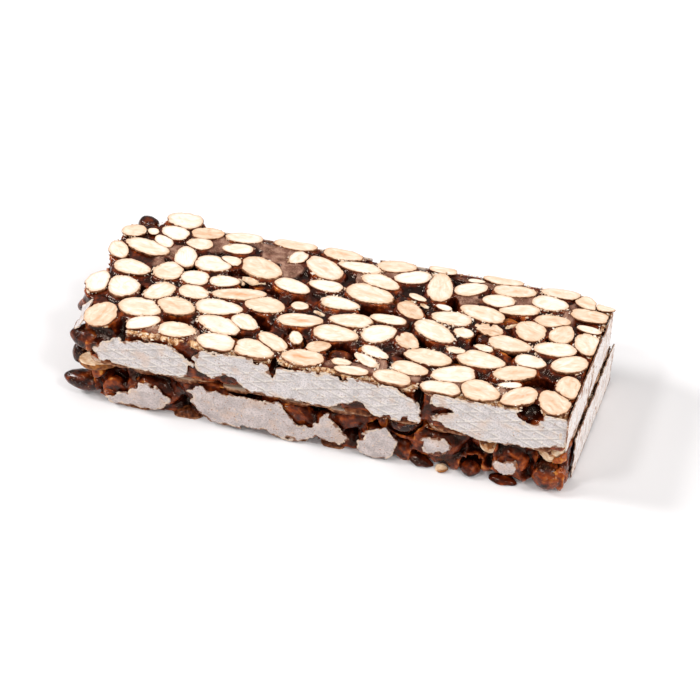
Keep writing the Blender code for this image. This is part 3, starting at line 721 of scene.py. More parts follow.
def bare_material():
    """A broken almond: tan flesh with some of its brown skin left on."""
    m = Material("bare_almond", 0.45)
    m.shader.inputs["Specular IOR Level"].default_value = 0.2
    flesh = m.ramp(
        m.noise(2.0 * MM, detail=5), (0.3, (0.50, 0.27, 0.13)), (0.5, (0.76, 0.53, 0.34)), (0.7, (0.88, 0.74, 0.56))
    )
    skin = m.ramp(m.noise(1.6 * MM, detail=3), (0.35, (0.10, 0.022, 0.004)), (0.65, (0.42, 0.15, 0.03)))
    covered = m.maths("SUBTRACT", m.noise(6 * MM, detail=3), m.attribute("bared"))
    m.colour(m.mix(m.ramp(covered, (0.48, 0), (0.55, 1)), flesh, skin))
    m.bump(m.noise(1.0 * MM, detail=4), 0.3, 0.7)
    return m.material


def wafer_material(name, base, stained, cracked=0.0):
    """Dry white wafer, stained brown where caramel soaked in, most of all at its torn edges."""
    m = Material(name, 0.8)
    m.shader.inputs["Specular IOR Level"].default_value = 0.15
    edge = m.attribute("edge")
    clouds = m.noise(4 * MM, detail=6)
    white = m.ramp(
        clouds, (0.32, tuple(0.80 * c for c in base)), (0.5, base), (0.68, tuple(min(1.14 * c, 0.88) for c in base))
    )
    fine = m.noise(0.6 * MM, detail=4)
    white = m.mix(m.ramp(fine, (0.38, 0.6), (0.54, 0)), white, tuple(0.55 * c for c in base))
    # The embossed lines are painted as well as given a small relief: a painted highlight along each ridge line and a
    # painted shadow in the groove beside it.
    line = m.attribute("line")
    faint = m.ramp(m.noise(2.5 * MM), (0.35, 0.3), (0.6, 1.0))
    painted_ridge_highlight = m.maths("MULTIPLY", m.ramp(line, (0.1, 0), (0.5, 0.75)), faint)
    pressed = m.maths("MULTIPLY", m.ramp(m.maths("MULTIPLY", line, -1.0), (0.1, 0), (0.5, 0.75)), faint)
    white = m.mix(painted_ridge_highlight, white, (0.82, 0.76, 0.68))
    white = m.mix(pressed, white, (0.44, 0.38, 0.35))
    crumbs = m.noise(1.0 * MM, detail=3)
    white = m.mix(m.ramp(crumbs, (0.66, 0), (0.71, 0.8)), white, (0.80, 0.56, 0.33))
    warm = m.noise(7 * MM, detail=3)
    white = m.mix(m.ramp(warm, (0.56, 0), (0.70, 0.45)), white, (0.66, 0.45, 0.32))
    specks = m.noise(0.8 * MM, detail=2)
    white = m.mix(m.ramp(specks, (0.655, 0), (0.69, 0.8)), white, (0.33, 0.15, 0.075))
    fringe = m.maths("MULTIPLY", edge, m.noise(1.7 * MM, detail=4))
    white = m.mix(m.ramp(fringe, (0.36, 0), (0.46, 0.8)), white, (0.72, 0.56, 0.42))
    if cracked:
        lengthways = m.noise(2.0 * MM, detail=4, stretch=(1, 1, 0.3), distortion=0.8)
        white = m.mix(m.ramp(lengthways, (0.56, 0), (0.62, 0.55 * cracked)), white, (0.76, 0.50, 0.31))
        white = m.mix(m.ramp(lengthways, (0.62, 0), (0.635, 0.9 * cracked)), white, (0.30, 0.10, 0.035))
    soaked = m.maths("MULTIPLY", m.noise(2.6 * MM, detail=4), 0.85)
    soaked = m.maths("ADD", m.maths("MULTIPLY", edge, 0.40), soaked)
    m.colour(m.mix(m.ramp(soaked, (stained, 0), (stained + 0.08, 0.9)), white, (0.20, 0.075, 0.035)))
    m.bump(m.noise(0.8 * MM, detail=5), 0.16, 0.8)
    m.bump(fine, 0.06, 0.7)
    return m.material


def crumb_material():
    m = Material("saw_crumbs", 0.7)
    tone = m.attribute("tone")
    m.colour(m.ramp(
        tone, (0.0, (0.22, 0.08, 0.035)), (0.3, (0.58, 0.34, 0.19)), (0.6, (0.82, 0.63, 0.46)),
        (1.0, (0.90, 0.81, 0.69)),
    ))
    m.bump(m.noise(0.3 * MM), 0.05)
    return m.material


# ---- Almonds sawn level with a face -------------------------------------------------------------
class SawnFace:
    """The almonds that a saw line cut: ellipses that fill a face round its air pockets."""

    def __init__(self, outline, pockets, seed, fixed=()):
        self.outline = outline
        self.pockets = [self.ellipse_of(loop) for loop in pockets]
        self.rng = np.random.default_rng(seed)
        if fixed:
            table = np.array(fixed)
            table[:, :2] += ZERO[:2]
            table[:, 2:4] /= 2
            table[:, 4] = np.radians(table[:, 4])
            self.ellipses = table[:, :5]
            self.looks = table[:, 5:]
            self.count = len(table)
            return
        self.ellipses = self.scatter(seed)
        self.count = len(self.ellipses)
        self.looks = np.stack([self.rng.normal(0.55, 0.25, self.count), self.rng.random(self.count) ** 2], 1)
        self.settle()
        self.ellipses = np.concatenate([self.ellipses, np.array(self.pockets).reshape(-1, 5)])

    @staticmethod
    def ellipse_of(loop):
        """Centre, half length, half width and turn of a pocket's rim."""
        centre = (loop.max(0) + loop.min(0))[:2] / 2
        spread = loop[:, :2] - centre
        _, _, axes = np.linalg.svd(spread, full_matrices=False)
        reach = abs(spread @ axes.T).max(0)
        return [*centre, *reach, math.atan2(axes[0, 1], axes[0, 0])]

    def scatter(self, seed):
        """Almonds in loose rows over the face, leaning this way and that."""
        low, high = self.outline.min(0), self.outline.max(0)
        rng = self.rng
        found = []
        rows = int((high[1] - low[1]) / ALMOND_PITCH[1]) + 2
        columns = int((high[0] - low[0]) / ALMOND_PITCH[0]) + 3
        for row in range(rows):
            for column in range(columns):
                x = low[0] + (column + 0.5 * (row % 2) - 0.3 + rng.uniform(-0.2, 0.2)) * ALMOND_PITCH[0]
                y = low[1] + (row + 0.35 + rng.uniform(-0.25, 0.25)) * ALMOND_PITCH[1]
                lean = 0.42 * noise_at([(x, y)], 30, seed)[0] + rng.normal(0, 0.30)
                length = rng.uniform(*ALMOND_LENGTH) / 2
                width = rng.uniform(*ALMOND_WIDTH) / 2
                if rng.random() < 0.18:
                    length *= 0.72
                if rng.random() < 0.15:
                    width *= 0.65
                if polygon_distance(np.array([x]), np.array([y]), self.outline)[0] > -2.5:
                    continue
                if any(math.hypot((x - p[0]) / 1.5, y - p[1]) < 4.6 for p in self.pockets):
                    continue
                found.append((x, y, length, width, lean))
        return np.array(found)

    def closeness(self, x, y, ellipses):
        """For each point and ellipse, 0 at its centre and 1 at its rim."""
        cx, cy, length, width, turn = (ellipses[:, i] for i in range(5))
        dx, dy = x[..., None] - cx, y[..., None] - cy
        cos, sin = np.cos(turn), np.sin(turn)
        return np.hypot((dx * cos + dy * sin) / length, (dy * cos - dx * sin) / width)

    def settle(self):
        """Moves each almond to the middle of its own share of the face, a few times."""
        low, high = self.outline.min(0), self.outline.max(0)
        x, y = np.meshgrid(np.arange(low[0], high[0], 1.0), np.arange(low[1], high[1], 1.0), indexing="ij")
        inside = polygon_distance(x, y, self.outline) < 0
        x, y = x[inside], y[inside]
        pockets = np.array(self.pockets).reshape(-1, 5)
        for _ in range(7):
            everything = np.concatenate([self.ellipses, pockets])
            owner = self.closeness(x, y, everything).argmin(1)
            for i in range(self.count):
                mine = owner == i
                if mine.sum() > 8:
                    centre = np.array([x[mine].mean(), y[mine].mean()])
                    self.ellipses[i, :2] += 0.5 * (centre - self.ellipses[i, :2])

    def rim(self, i, angles, gap):
        """How far almond i reaches at each angle before its rim or a neighbour."""
        x, y, length, width, turn = self.ellipses[i]
        others = np.delete(self.ellipses, i, axis=0)
        others = others[np.hypot(others[:, 0] - x, others[:, 1] - y) < 26]
        cos, sin = np.cos(angles - turn), np.sin(angles - turn)
        taper = self.rng.uniform(0.08, 0.30) * self.rng.choice((-1, 1))
        full = 1 / np.hypot(cos / length, sin / width)
        for _ in range(4):
            full = 1 / np.hypot(cos / length, sin / (width * (1 - taper * full * cos / length)))
        share = np.linspace(0.05, 1, 80)
        radius = full[:, None] * share
        px = x + radius * np.cos(angles)[:, None]
        py = y + radius * np.sin(angles)[:, None]
        rival = self.closeness(px, py, others).min(-1)
        free = (rival - share > gap) & (polygon_distance(px, py, self.outline) < -0.1)
        stop = np.where(free.all(1), len(share) - 1, np.maximum(free.argmin(1) - 1, 0))
        reach = radius[np.arange(len(angles)), stop]
        for _ in range(2):
            reach = (np.roll(reach, 1) + 2 * reach + np.roll(reach, -1)) / 4
        circle = np.stack([np.cos(angles), np.sin(angles)], 1) + 10 * i
        chips = smoothstep(0.35, 0.8, noise_at(circle, 0.22, 7))
        return reach * (1 + 0.024 * noise_at(circle, 0.5, 5) + 0.014 * noise_at(circle, 0.14, 6) - 0.07 * chips)

    def build(self, level, side, keep_edge=None):
        """The almonds' meshes below (side 1) or above (side -1) the saw line at height level."""
        angles = np.linspace(0, 2 * np.pi, 56 if keep_edge is None and side > 0 else 42, endpoint=False)
        parts = []
        self.rims = []
        for i in range(self.count):
            x, y, length, width, turn = self.ellipses[i]
            if keep_edge is not None:
                if polygon_distance(np.array([x]), np.array([y]), self.outline)[0] < -keep_edge:
                    continue
            reach = self.rim(i, angles, 0.055)
            if reach.mean() < 1.3:
                continue
            self.rims.append((x, y, reach))
            parts.append(self.almond(x, y, turn, angles, reach, level, side, self.looks[i]))
        return joined(parts)

    def almond(self, x, y, turn, angles, reach, level, side, looks):
        """One almond: rings over its sawn face, then rings down its buried side."""
        rng = self.rng
        sunk = rng.uniform(0.02, 0.22)
        tilt = rng.uniform(-0.012, 0.012, 2)
        belly = rng.uniform(-0.02, 0.10)
        depth = rng.uniform(0.45, 0.75) * reach.mean()
        rough = 0.45 * smoothstep(0.14, 0.0, looks[0])
        rings = [(share, 0.0, share) for share in (0.02, 0.35, 0.65, 0.82, 0.91, 0.955, 0.985)]
        rings.append((1.0, 0.08, 1.0))
        rings += [
            (math.sqrt(1 - t * t) * (1 + belly * math.sin(math.pi * t)), t * depth + 0.08, 1.05 + 0.2 * t)
            for t in (0.07, 0.3, 0.6, 0.85, 0.99)
        ]
        cos, sin = np.cos(angles), np.sin(angles)
        points, rim = [], []
        for share, down, mark in rings:
            px, py = x + share * reach * cos, y + share * reach * sin
            pz = level - side * (sunk + down + tilt[0] * (px - x) + tilt[1] * (py - y))
            if rough > 0:
                pz = pz - side * rough * (1 + noise_at(np.stack([px, py], 1), 1.1, 900))
            points.append(np.stack([px, py, pz], 1))
            rim.append(np.full(len(angles), mark))
        points, rim = np.concatenate(points), np.concatenate(rim)
        points[:, 2] = level - side * np.maximum(side * (level - points[:, 2]), 0.01)
        dx, dy = points[:, 0] - x, points[:, 1] - y
        along, across = math.cos(turn) * dx + math.sin(turn) * dy, math.cos(turn) * dy - math.sin(turn) * dx
        cut = np.stack([along, across, 0.6 * points[:, 2]], 1) + rng.uniform(0, 500, 3)
        faces = ring_faces(len(rings), len(angles))
        if side > 0:
            faces = [face[::-1] for face in faces]
        tone = np.full(len(points), np.clip(looks[0] + rng.normal(0, 0.08), 0, 1))
        heart = looks[1] * np.exp(-((along / reach.max() / 0.75) ** 2) - (across / 1.5) ** 2)
        return points, faces, {"rim": rim, "tone": tone, "heart": heart, "cut": cut}

    def clearance(self, x, y):
        """How far each point is from the nearest sawn almond, negative inside one."""
        nearest = np.full(x.shape, 4.0)
        turns = np.linspace(0, 2 * np.pi, len(self.rims[0][2]), endpoint=False)
        for cx, cy, reach in self.rims:
            dx, dy = x - cx, y - cy
            far = np.hypot(dx, dy)
            close = far < reach.max() + 4
            edge = np.interp(np.arctan2(dy[close], dx[close]) % (2 * np.pi), turns, reach, period=2 * np.pi)
            nearest[close] = np.minimum(nearest[close], far[close] - edge)
        return nearest

    def level_caramel(self, x, y, seed):
        """1 where the saw met solid caramel, 0 where the gap between the almonds is hollow."""
        if not self.pockets or len(self.ellipses) > self.count:
            return smoothstep(-0.2, 0.3, noise_at(np.stack([x, y], -1), 11.0, seed))
        wobble = 0.25 * noise_at(np.stack([x, y], -1), 3.0, seed)
        level = np.zeros(x.shape)
        for cx, cy, half_x, half_y in TOP_CARAMEL:
            near = np.hypot((x - cx - ZERO[0]) / half_x, (y - cy - ZERO[1]) / half_y)
            level = np.maximum(level, 1 - smoothstep(0.95, 1.35, near + wobble))
        return level


# ---- The caramel of a slice ---------------------------------------------------------------------
def ellipsoid_of(node):
    """Centre, axes and half sizes of a standing almond's CAD solid."""
    points, _ = cad_mesh(node)
    middle = points.mean(0)
    _, _, axes = np.linalg.svd(points - middle, full_matrices=False)
    spread = (points - middle) @ axes.T
    centre = middle + ((spread.max(0) + spread.min(0)) / 2) @ axes
    return centre, axes, (spread.max(0) - spread.min(0)) / 2


def ellipsoid_distance(x, y, z, centre, axes, reach):
    p = np.stack([x - centre[0], y - centre[1], z - centre[2]], -1) @ axes.T
    near = np.linalg.norm(p / reach, axis=-1)
    slope = np.linalg.norm(p / reach**2, axis=-1)
    return near * (near - 1) / np.maximum(slope, 1e-6)


def smooth_union(a, b, radius):
    blend = np.clip(0.5 + 0.5 * (b - a) / radius, 0, 1)
    return b + (a - b) * blend - radius * blend * (1 - blend)


def leaning_plane():
    """A point of the leaning sheet and the direction that it faces."""
    corners = np.array(LEANING_SHEET)
    outward = np.cross(corners[2] - corners[0], corners[1] - corners[0])
    return corners[0], outward / np.linalg.norm(outward)


def bulges(low, high, front_at, left_at, seed):
    """Almonds deep in the caramel, that only swell the slice's broken front and left sides."""
    rng = np.random.default_rng(seed)
    found = []
    for _ in range(44):
        x, z = rng.uniform(low[0] + 6, high[0] - 6), rng.uniform(low[2] + 2.5, high[2] - 4.5)
        reach = np.array([rng.uniform(5.5, 8), rng.uniform(3.5, 4.5), rng.uniform(3.4, 4.8)])
        turn = np.array(Matrix.Rotation(rng.uniform(-0.7, 0.7), 3, "Y"))
        found.append((np.array([x, front_at(x, z) + reach[1] + rng.uniform(0.3, 1.6), z]), turn, reach))
    for _ in range(12):
        y, z = rng.uniform(low[1] + 5, high[1] - 5), rng.uniform(low[2] + 4, high[2] - 4)
        reach = np.array([rng.uniform(3.5, 5), rng.uniform(5, 7), rng.uniform(3.4, 4.8)])
        turn = np.array(Matrix.Rotation(rng.uniform(-0.7, 0.7), 3, "X"))
        found.append((np.array([left_at(y, z) + reach[0] + rng.uniform(0.2, 1.5), y, z]), turn, reach))
    return found


def build_caramel(name, node, almonds, faces, wafers, seed, material):
    """A slice's caramel: the CAD slice's own shape seen from six sides, broken up, with the standing
    almonds' glaze run into it, and sunk between the sawn almonds."""
    lower = name.startswith("lower")
    low, high = (np.array(corner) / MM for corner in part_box(node))
    start = low - 5 * GRID
    count = np.ceil((high - low) / GRID).astype(int) + 11
    x, y, z = (start[i] + GRID * np.arange(count[i]) for i in range(3))
    tree = tree_of([node])
    far = 400.0

    def seen_from(axis, sign, what=tree):
        """Where a surface is along an axis, seen from its sign side, and where nothing is seen."""
        others = [i for i in range(3) if i != axis]
        first, second = np.meshgrid((x, y, z)[others[0]], (x, y, z)[others[1]], indexing="ij")
        starts = np.zeros(first.shape + (3,))
        starts[..., others[0]], starts[..., others[1]] = first, second
        starts[..., axis] = sign * far
        direction = np.zeros(3)
        direction[axis] = -sign
        heights = sign * (far - ray_heights(what, starts, direction, 2 * far))
        missed = sign * heights < -far + 1
        middle = (low[axis] + high[axis]) / 2
        return np.where(missed, middle - sign * 3, heights), missed

    def grain(first, second, size, offset):
        return noise_at(np.stack(np.meshgrid(first, second, indexing="ij"), -1), size, seed + offset)

    front, _ = seen_from(1, -1)
    left, _ = seen_from(0, -1)
    swells = bulges(
        low, high,
        lambda px, pz: front[int((px - start[0]) / GRID), int((pz - start[2]) / GRID)],
        lambda py, pz: left[int((py - start[1]) / GRID), int((pz - start[2]) / GRID)],
        seed + 9,
    )
    lip = smoothstep(high[2] - 3.0, high[2] - 1.2, z)[None, :]
    sunk = np.clip(1.6 + 1.6 * grain(y, z, 7, 0) + 0.8 * grain(y, z, 2.4, 1), 0.1, 4)
    left = blur(left, 2) + sunk * (1 - lip)
    right = blur(seen_from(0, 1)[0], 1) - 0.15
    sunk = np.clip(0.9 + 1.0 * grain(x, z, 6, 2) + 0.6 * grain(x, z, 2.2, 3), 0.1, 3)
    back = blur(seen_from(1, 1)[0], 1) - sunk * (1 - lip)
    if lower:
        sunk = np.clip(4.4 + 1.8 * grain(x, z, 7, 4) + 1.0 * grain(x, z, 2.4, 5), 1, 7)
        sunk = sunk * (0.4 + 0.6 * smoothstep(0.5, 4.0, z))
        ledge = np.zeros(len(x))
        for begin, end in SEAM_LEDGES:
            ledge = np.maximum(ledge, smoothstep(begin - 1.5, begin + 1.5, x) - smoothstep(end - 1.5, end + 1.5, x))
        lip = lip * (0.25 + 0.75 * ledge)[:, None]
    else:
        sunk = np.clip(0.8 + 0.8 * grain(x, z, 5, 4) + 0.6 * grain(x, z, 2.0, 5), 0, 2.5)
    front = blur(front, 1) + sunk * (1 - lip)
    field = np.maximum(left[None] - x[:, None, None], x[:, None, None] - right[None])
    field = np.maximum(field, front[:, None, :] - y[None, :, None])
    field = np.maximum(field, y[None, :, None] - back[:, None, :])

    for lump in np.array(CARAMEL_LUMPS["lower" if lower else "upper"]):
        swells.append((lump[:3] + ZERO, np.eye(3), lump[3:]))
    for which, (spot, axes, reach) in enumerate(swells + almonds):
        deep = which < len(swells)
        box = tuple(
            slice(
                max(0, int((spot[i] - reach.max() - 5 - start[i]) / GRID)),
                max(0, int((spot[i] + reach.max() + 5 - start[i]) / GRID)),
            )
            for i in range(3)
        )
        px, py, pz = np.meshgrid(x[box[0]], y[box[1]], z[box[2]], indexing="ij")
        resting = spot[2] < 4.0
        film = 0.0 if deep else 0.55 * noise_at(np.stack([px, py, pz], -1), 3.0, seed + 8) + (0.35 if resting else -0.2)
        glaze = ellipsoid_distance(px, py, pz, spot, axes, reach) - film
        field[box] = smooth_union(field[box], glaze, 3.4 if resting else 1.2 if deep else 1.8)
    everywhere = np.meshgrid(x, y, z, indexing="ij")
    broken = np.stack(everywhere, -1)
    relief = 0.40 * noise_at(broken, 4.2, seed + 14) + 0.22 * noise_at(broken, 2.1, seed + 15)
    field += relief - 0.1
    if not lower:
        for hollow in np.array(HOLLOWS):
            gone = ellipsoid_distance(*everywhere, hollow[:3] + ZERO, np.eye(3), hollow[3:])
            field = np.maximum(field, -gone)
        corner, outward = leaning_plane()
        above = (broken - corner) @ outward + SHEET_THICKNESS
        near = (everywhere[0] < -88) & (everywhere[1] < corner[1] + 1) & (everywhere[2] > 32.5)
        field = np.where(near, np.maximum(field, above), field)
    for axis, sign, surface in ((1, -1, y[None, :, None]), (0, 1, x[:, None, None]), (1, 1, y[None, :, None])):
        sheet, missed = seen_from(axis, sign, wafers)
        own, _ = seen_from(axis, sign)
        missed = missed | (sign * ((high if sign > 0 else low)[axis] - sheet) > 9) | (sign * (own - sheet) > 0)
        if axis == 1 and sign > 0:
            missed = missed | (z > SHEET_TOPS["back"] - 0.4)[None, :]
        limit = np.expand_dims(np.where(missed, sign * 1e3, sheet - sign * SHEET_BEHIND), axis)
        field = np.maximum(field, sign * (surface - limit))

    grid_x, grid_y = np.meshgrid(x, y, indexing="ij")
    dusty = np.zeros(grid_x.shape + (2,))
    for which, (sign, face) in enumerate(((1, faces[0]), (-1, faces[1]))):
        level = high[2] if sign > 0 else low[2]
        pockets = blur(abs(seen_from(2, sign)[0] - level), 1)
        pockets = np.where(pockets < 16, pockets, 0)
        clear = face.clearance(grid_x, grid_y)
        solid = face.level_caramel(grid_x, grid_y, seed + 3)
        fine = noise_at(np.stack([grid_x, grid_y], -1), 1.6, seed + 4)
        gap = 0.55 + 1.9 * smoothstep(0.3, 1.9, clear) + 0.45 * fine
        depth = gap + (0.35 + 0.22 * fine - gap) * solid
        depth = np.maximum(depth, 0.25 + 0.9 * smoothstep(0.2, 1.4, -clear))
        if sign > 0 and not lower:
            for px, py, length, width, turn, sunk, _ in TOP_WHOLE_ALMONDS:
                shape = np.array([[px + ZERO[0], py + ZERO[1], length / 2, width / 2, math.radians(turn)]])
                near = face.closeness(grid_x, grid_y, shape)[..., 0]
                dome = sunk + 0.06 * width + 0.5 * width * (1 - np.sqrt(np.clip(1 - near**2, 0, 1)))
                depth = np.where(near < 1.05, np.maximum(depth, dome + 0.45), depth)
        depth += pockets * (1 + 0.12 * fine)
        dusty[..., which] = solid * (1 - smoothstep(0.3, 1.2, pockets))
        surface = level - sign * depth
        cut = sign * (z[None, None, :] - surface[..., None])
        field = np.maximum(field, cut)

    points, quads = surface_net(field, start, GRID)
    points[:, :2] += 0.15 * np.stack([noise_at(points, 1.1, seed + 5), noise_at(points, 1.1, seed + 6)], 1)
    spot = np.clip(((points[:, :2] - start[:2]) / GRID).round().astype(int), 0, np.array(grid_x.shape) - 1)
    top, bottom = dusty[spot[:, 0], spot[:, 1]].T
    below_top, above_bottom = high[2] - points[:, 2], points[:, 2] - low[2]
    sawn = top * (1 - smoothstep(0.5, 1.3, below_top))
    sawn = np.maximum(sawn, bottom * (1 - smoothstep(0.5, 1.3, above_bottom)))
    outer = smoothstep(0.0, 1.0, np.maximum(low[1] + 3.5 - points[:, 1], points[:, 0] - high[0] + 5.0))
    rough = 0.9 * noise_at(points, 2.0, seed + 7)
    patches = smoothstep(0.0, 0.5, noise_at(points, 13.0, seed + 8))
    # Towards the right-hand end the crust covers everything and reaches further from the joint between the slices. This
    # is partly crumbs and partly painted light, which lightens the joint where it lies in shade.
    patches = np.maximum(patches, smoothstep(high[0] - 7.0, high[0] - 5.0, points[:, 0]))
    at_end = smoothstep(high[0] - 7.0, high[0] - 5.0, points[:, 0])
    if lower:
        crust = (1 - smoothstep(0.8 + 2 * at_end, 2.4 + 3 * at_end, below_top + rough)) * patches
    else:
        crust = 1 - smoothstep(1.0, 4.2, below_top + rough)
        at_foot = (0.55 + 0.45 * at_end) * (1 - smoothstep(0.4 + 2 * at_end, 1.2 + 2.4 * at_end, above_bottom + rough))
        crust = np.maximum(crust, at_foot * patches)
    crust *= outer
    # ridge, from standing_out, gives the caramel its painted shade in the hollows and its painted orange glow on the
    # ridges.
    make_piece(
        name, points, quads, material, (node,), "caramel",
        sawn=sawn, crust=crust, ridge=standing_out(points, quads),
    )
    solid = field < 0
    last = len(z) - 1 - solid[:, :, ::-1].argmax(2)
    heights = np.where(solid.any(2), z[last] + GRID / 2, -1)
    return points[crust > 0.25], (start, heights)


# ---- Standing almonds ---------------------------------------------------------------------------
def build_standing_almond(node, seed, material):
    """A whole almond in the shape of its CAD solid, ribbed along its length."""
    points, triangles = cad_mesh(node)
    tree = BVHTree.FromPolygons(points.tolist(), triangles.tolist())
    centre, axes, reach = ellipsoid_of(node)
    if np.linalg.det(axes) < 0:
        axes[2] *= -1
    around, rings = 36, 26
    angles = np.linspace(0, 2 * np.pi, around, endpoint=False)
    lean = np.linspace(0.03, np.pi - 0.03, rings)
    direction = np.stack(
        [
            np.repeat(np.cos(lean), around) * reach[0],
            np.outer(np.sin(lean), np.cos(angles)).ravel() * reach[1],
            np.outer(np.sin(lean), np.sin(angles)).ravel() * reach[2],
        ],
        1,
    )
    direction /= np.linalg.norm(direction, axis=1)[:, None]
    radius = np.array([tree.ray_cast(centre.tolist(), Vector(d))[3] or reach.min() for d in direction @ axes])
    radius = radius.reshape(rings, around)
    for _ in range(2):
        padded = np.concatenate([radius[:1], radius, radius[-1:]])
        radius = (padded[:-2] + padded[2:] + np.roll(radius, 1, 1) + np.roll(radius, -1, 1) + 4 * radius) / 8
    ribs = noise_at(np.stack([np.repeat(np.cos(lean), around) * 1.2, np.tile(np.cos(angles), rings) * 3.4,
                              np.tile(np.sin(angles), rings) * 3.4], 1), 1.0, seed)
    dents = noise_at(direction * 3 + seed, 1.4, seed + 50)
    deep = 0.09 if node in COATED_ALMONDS + BARE_ALMONDS else 0.035
    radius = radius.ravel() * (1 + 0.02 * (ribs - 1) + deep * (dents - 1)) - 0.05
    local = direction * radius[:, None]
    made = centre + local @ axes
    low, high = (np.array(corner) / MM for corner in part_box(node))
    made = np.clip(made, low, high)
    cut = np.stack([local[:, 0], np.tile(angles, rings) * 3.5, 0 * local[:, 0]], 1) + 31.0 * seed
    tone = np.full(len(made), SKIN_REDNESS.get(node, np.random.default_rng(seed).uniform(0.3, 0.8)))
    faces = ring_faces(rings, around)
    bared = np.full(len(made), 0.04)
    # The caramel material reads ridge for its painted shade and glow; for the almonds coated in caramel it only varies
    # at random here.
    ridge = 0.50 + 0.28 * noise_at(made, 3.0, seed)
    return make_piece(
        node + "_glazed", made, [f[::-1] for f in faces], material, (node,), "almond",
        cut=cut, tone=tone, bared=bared, ridge=ridge,
    )


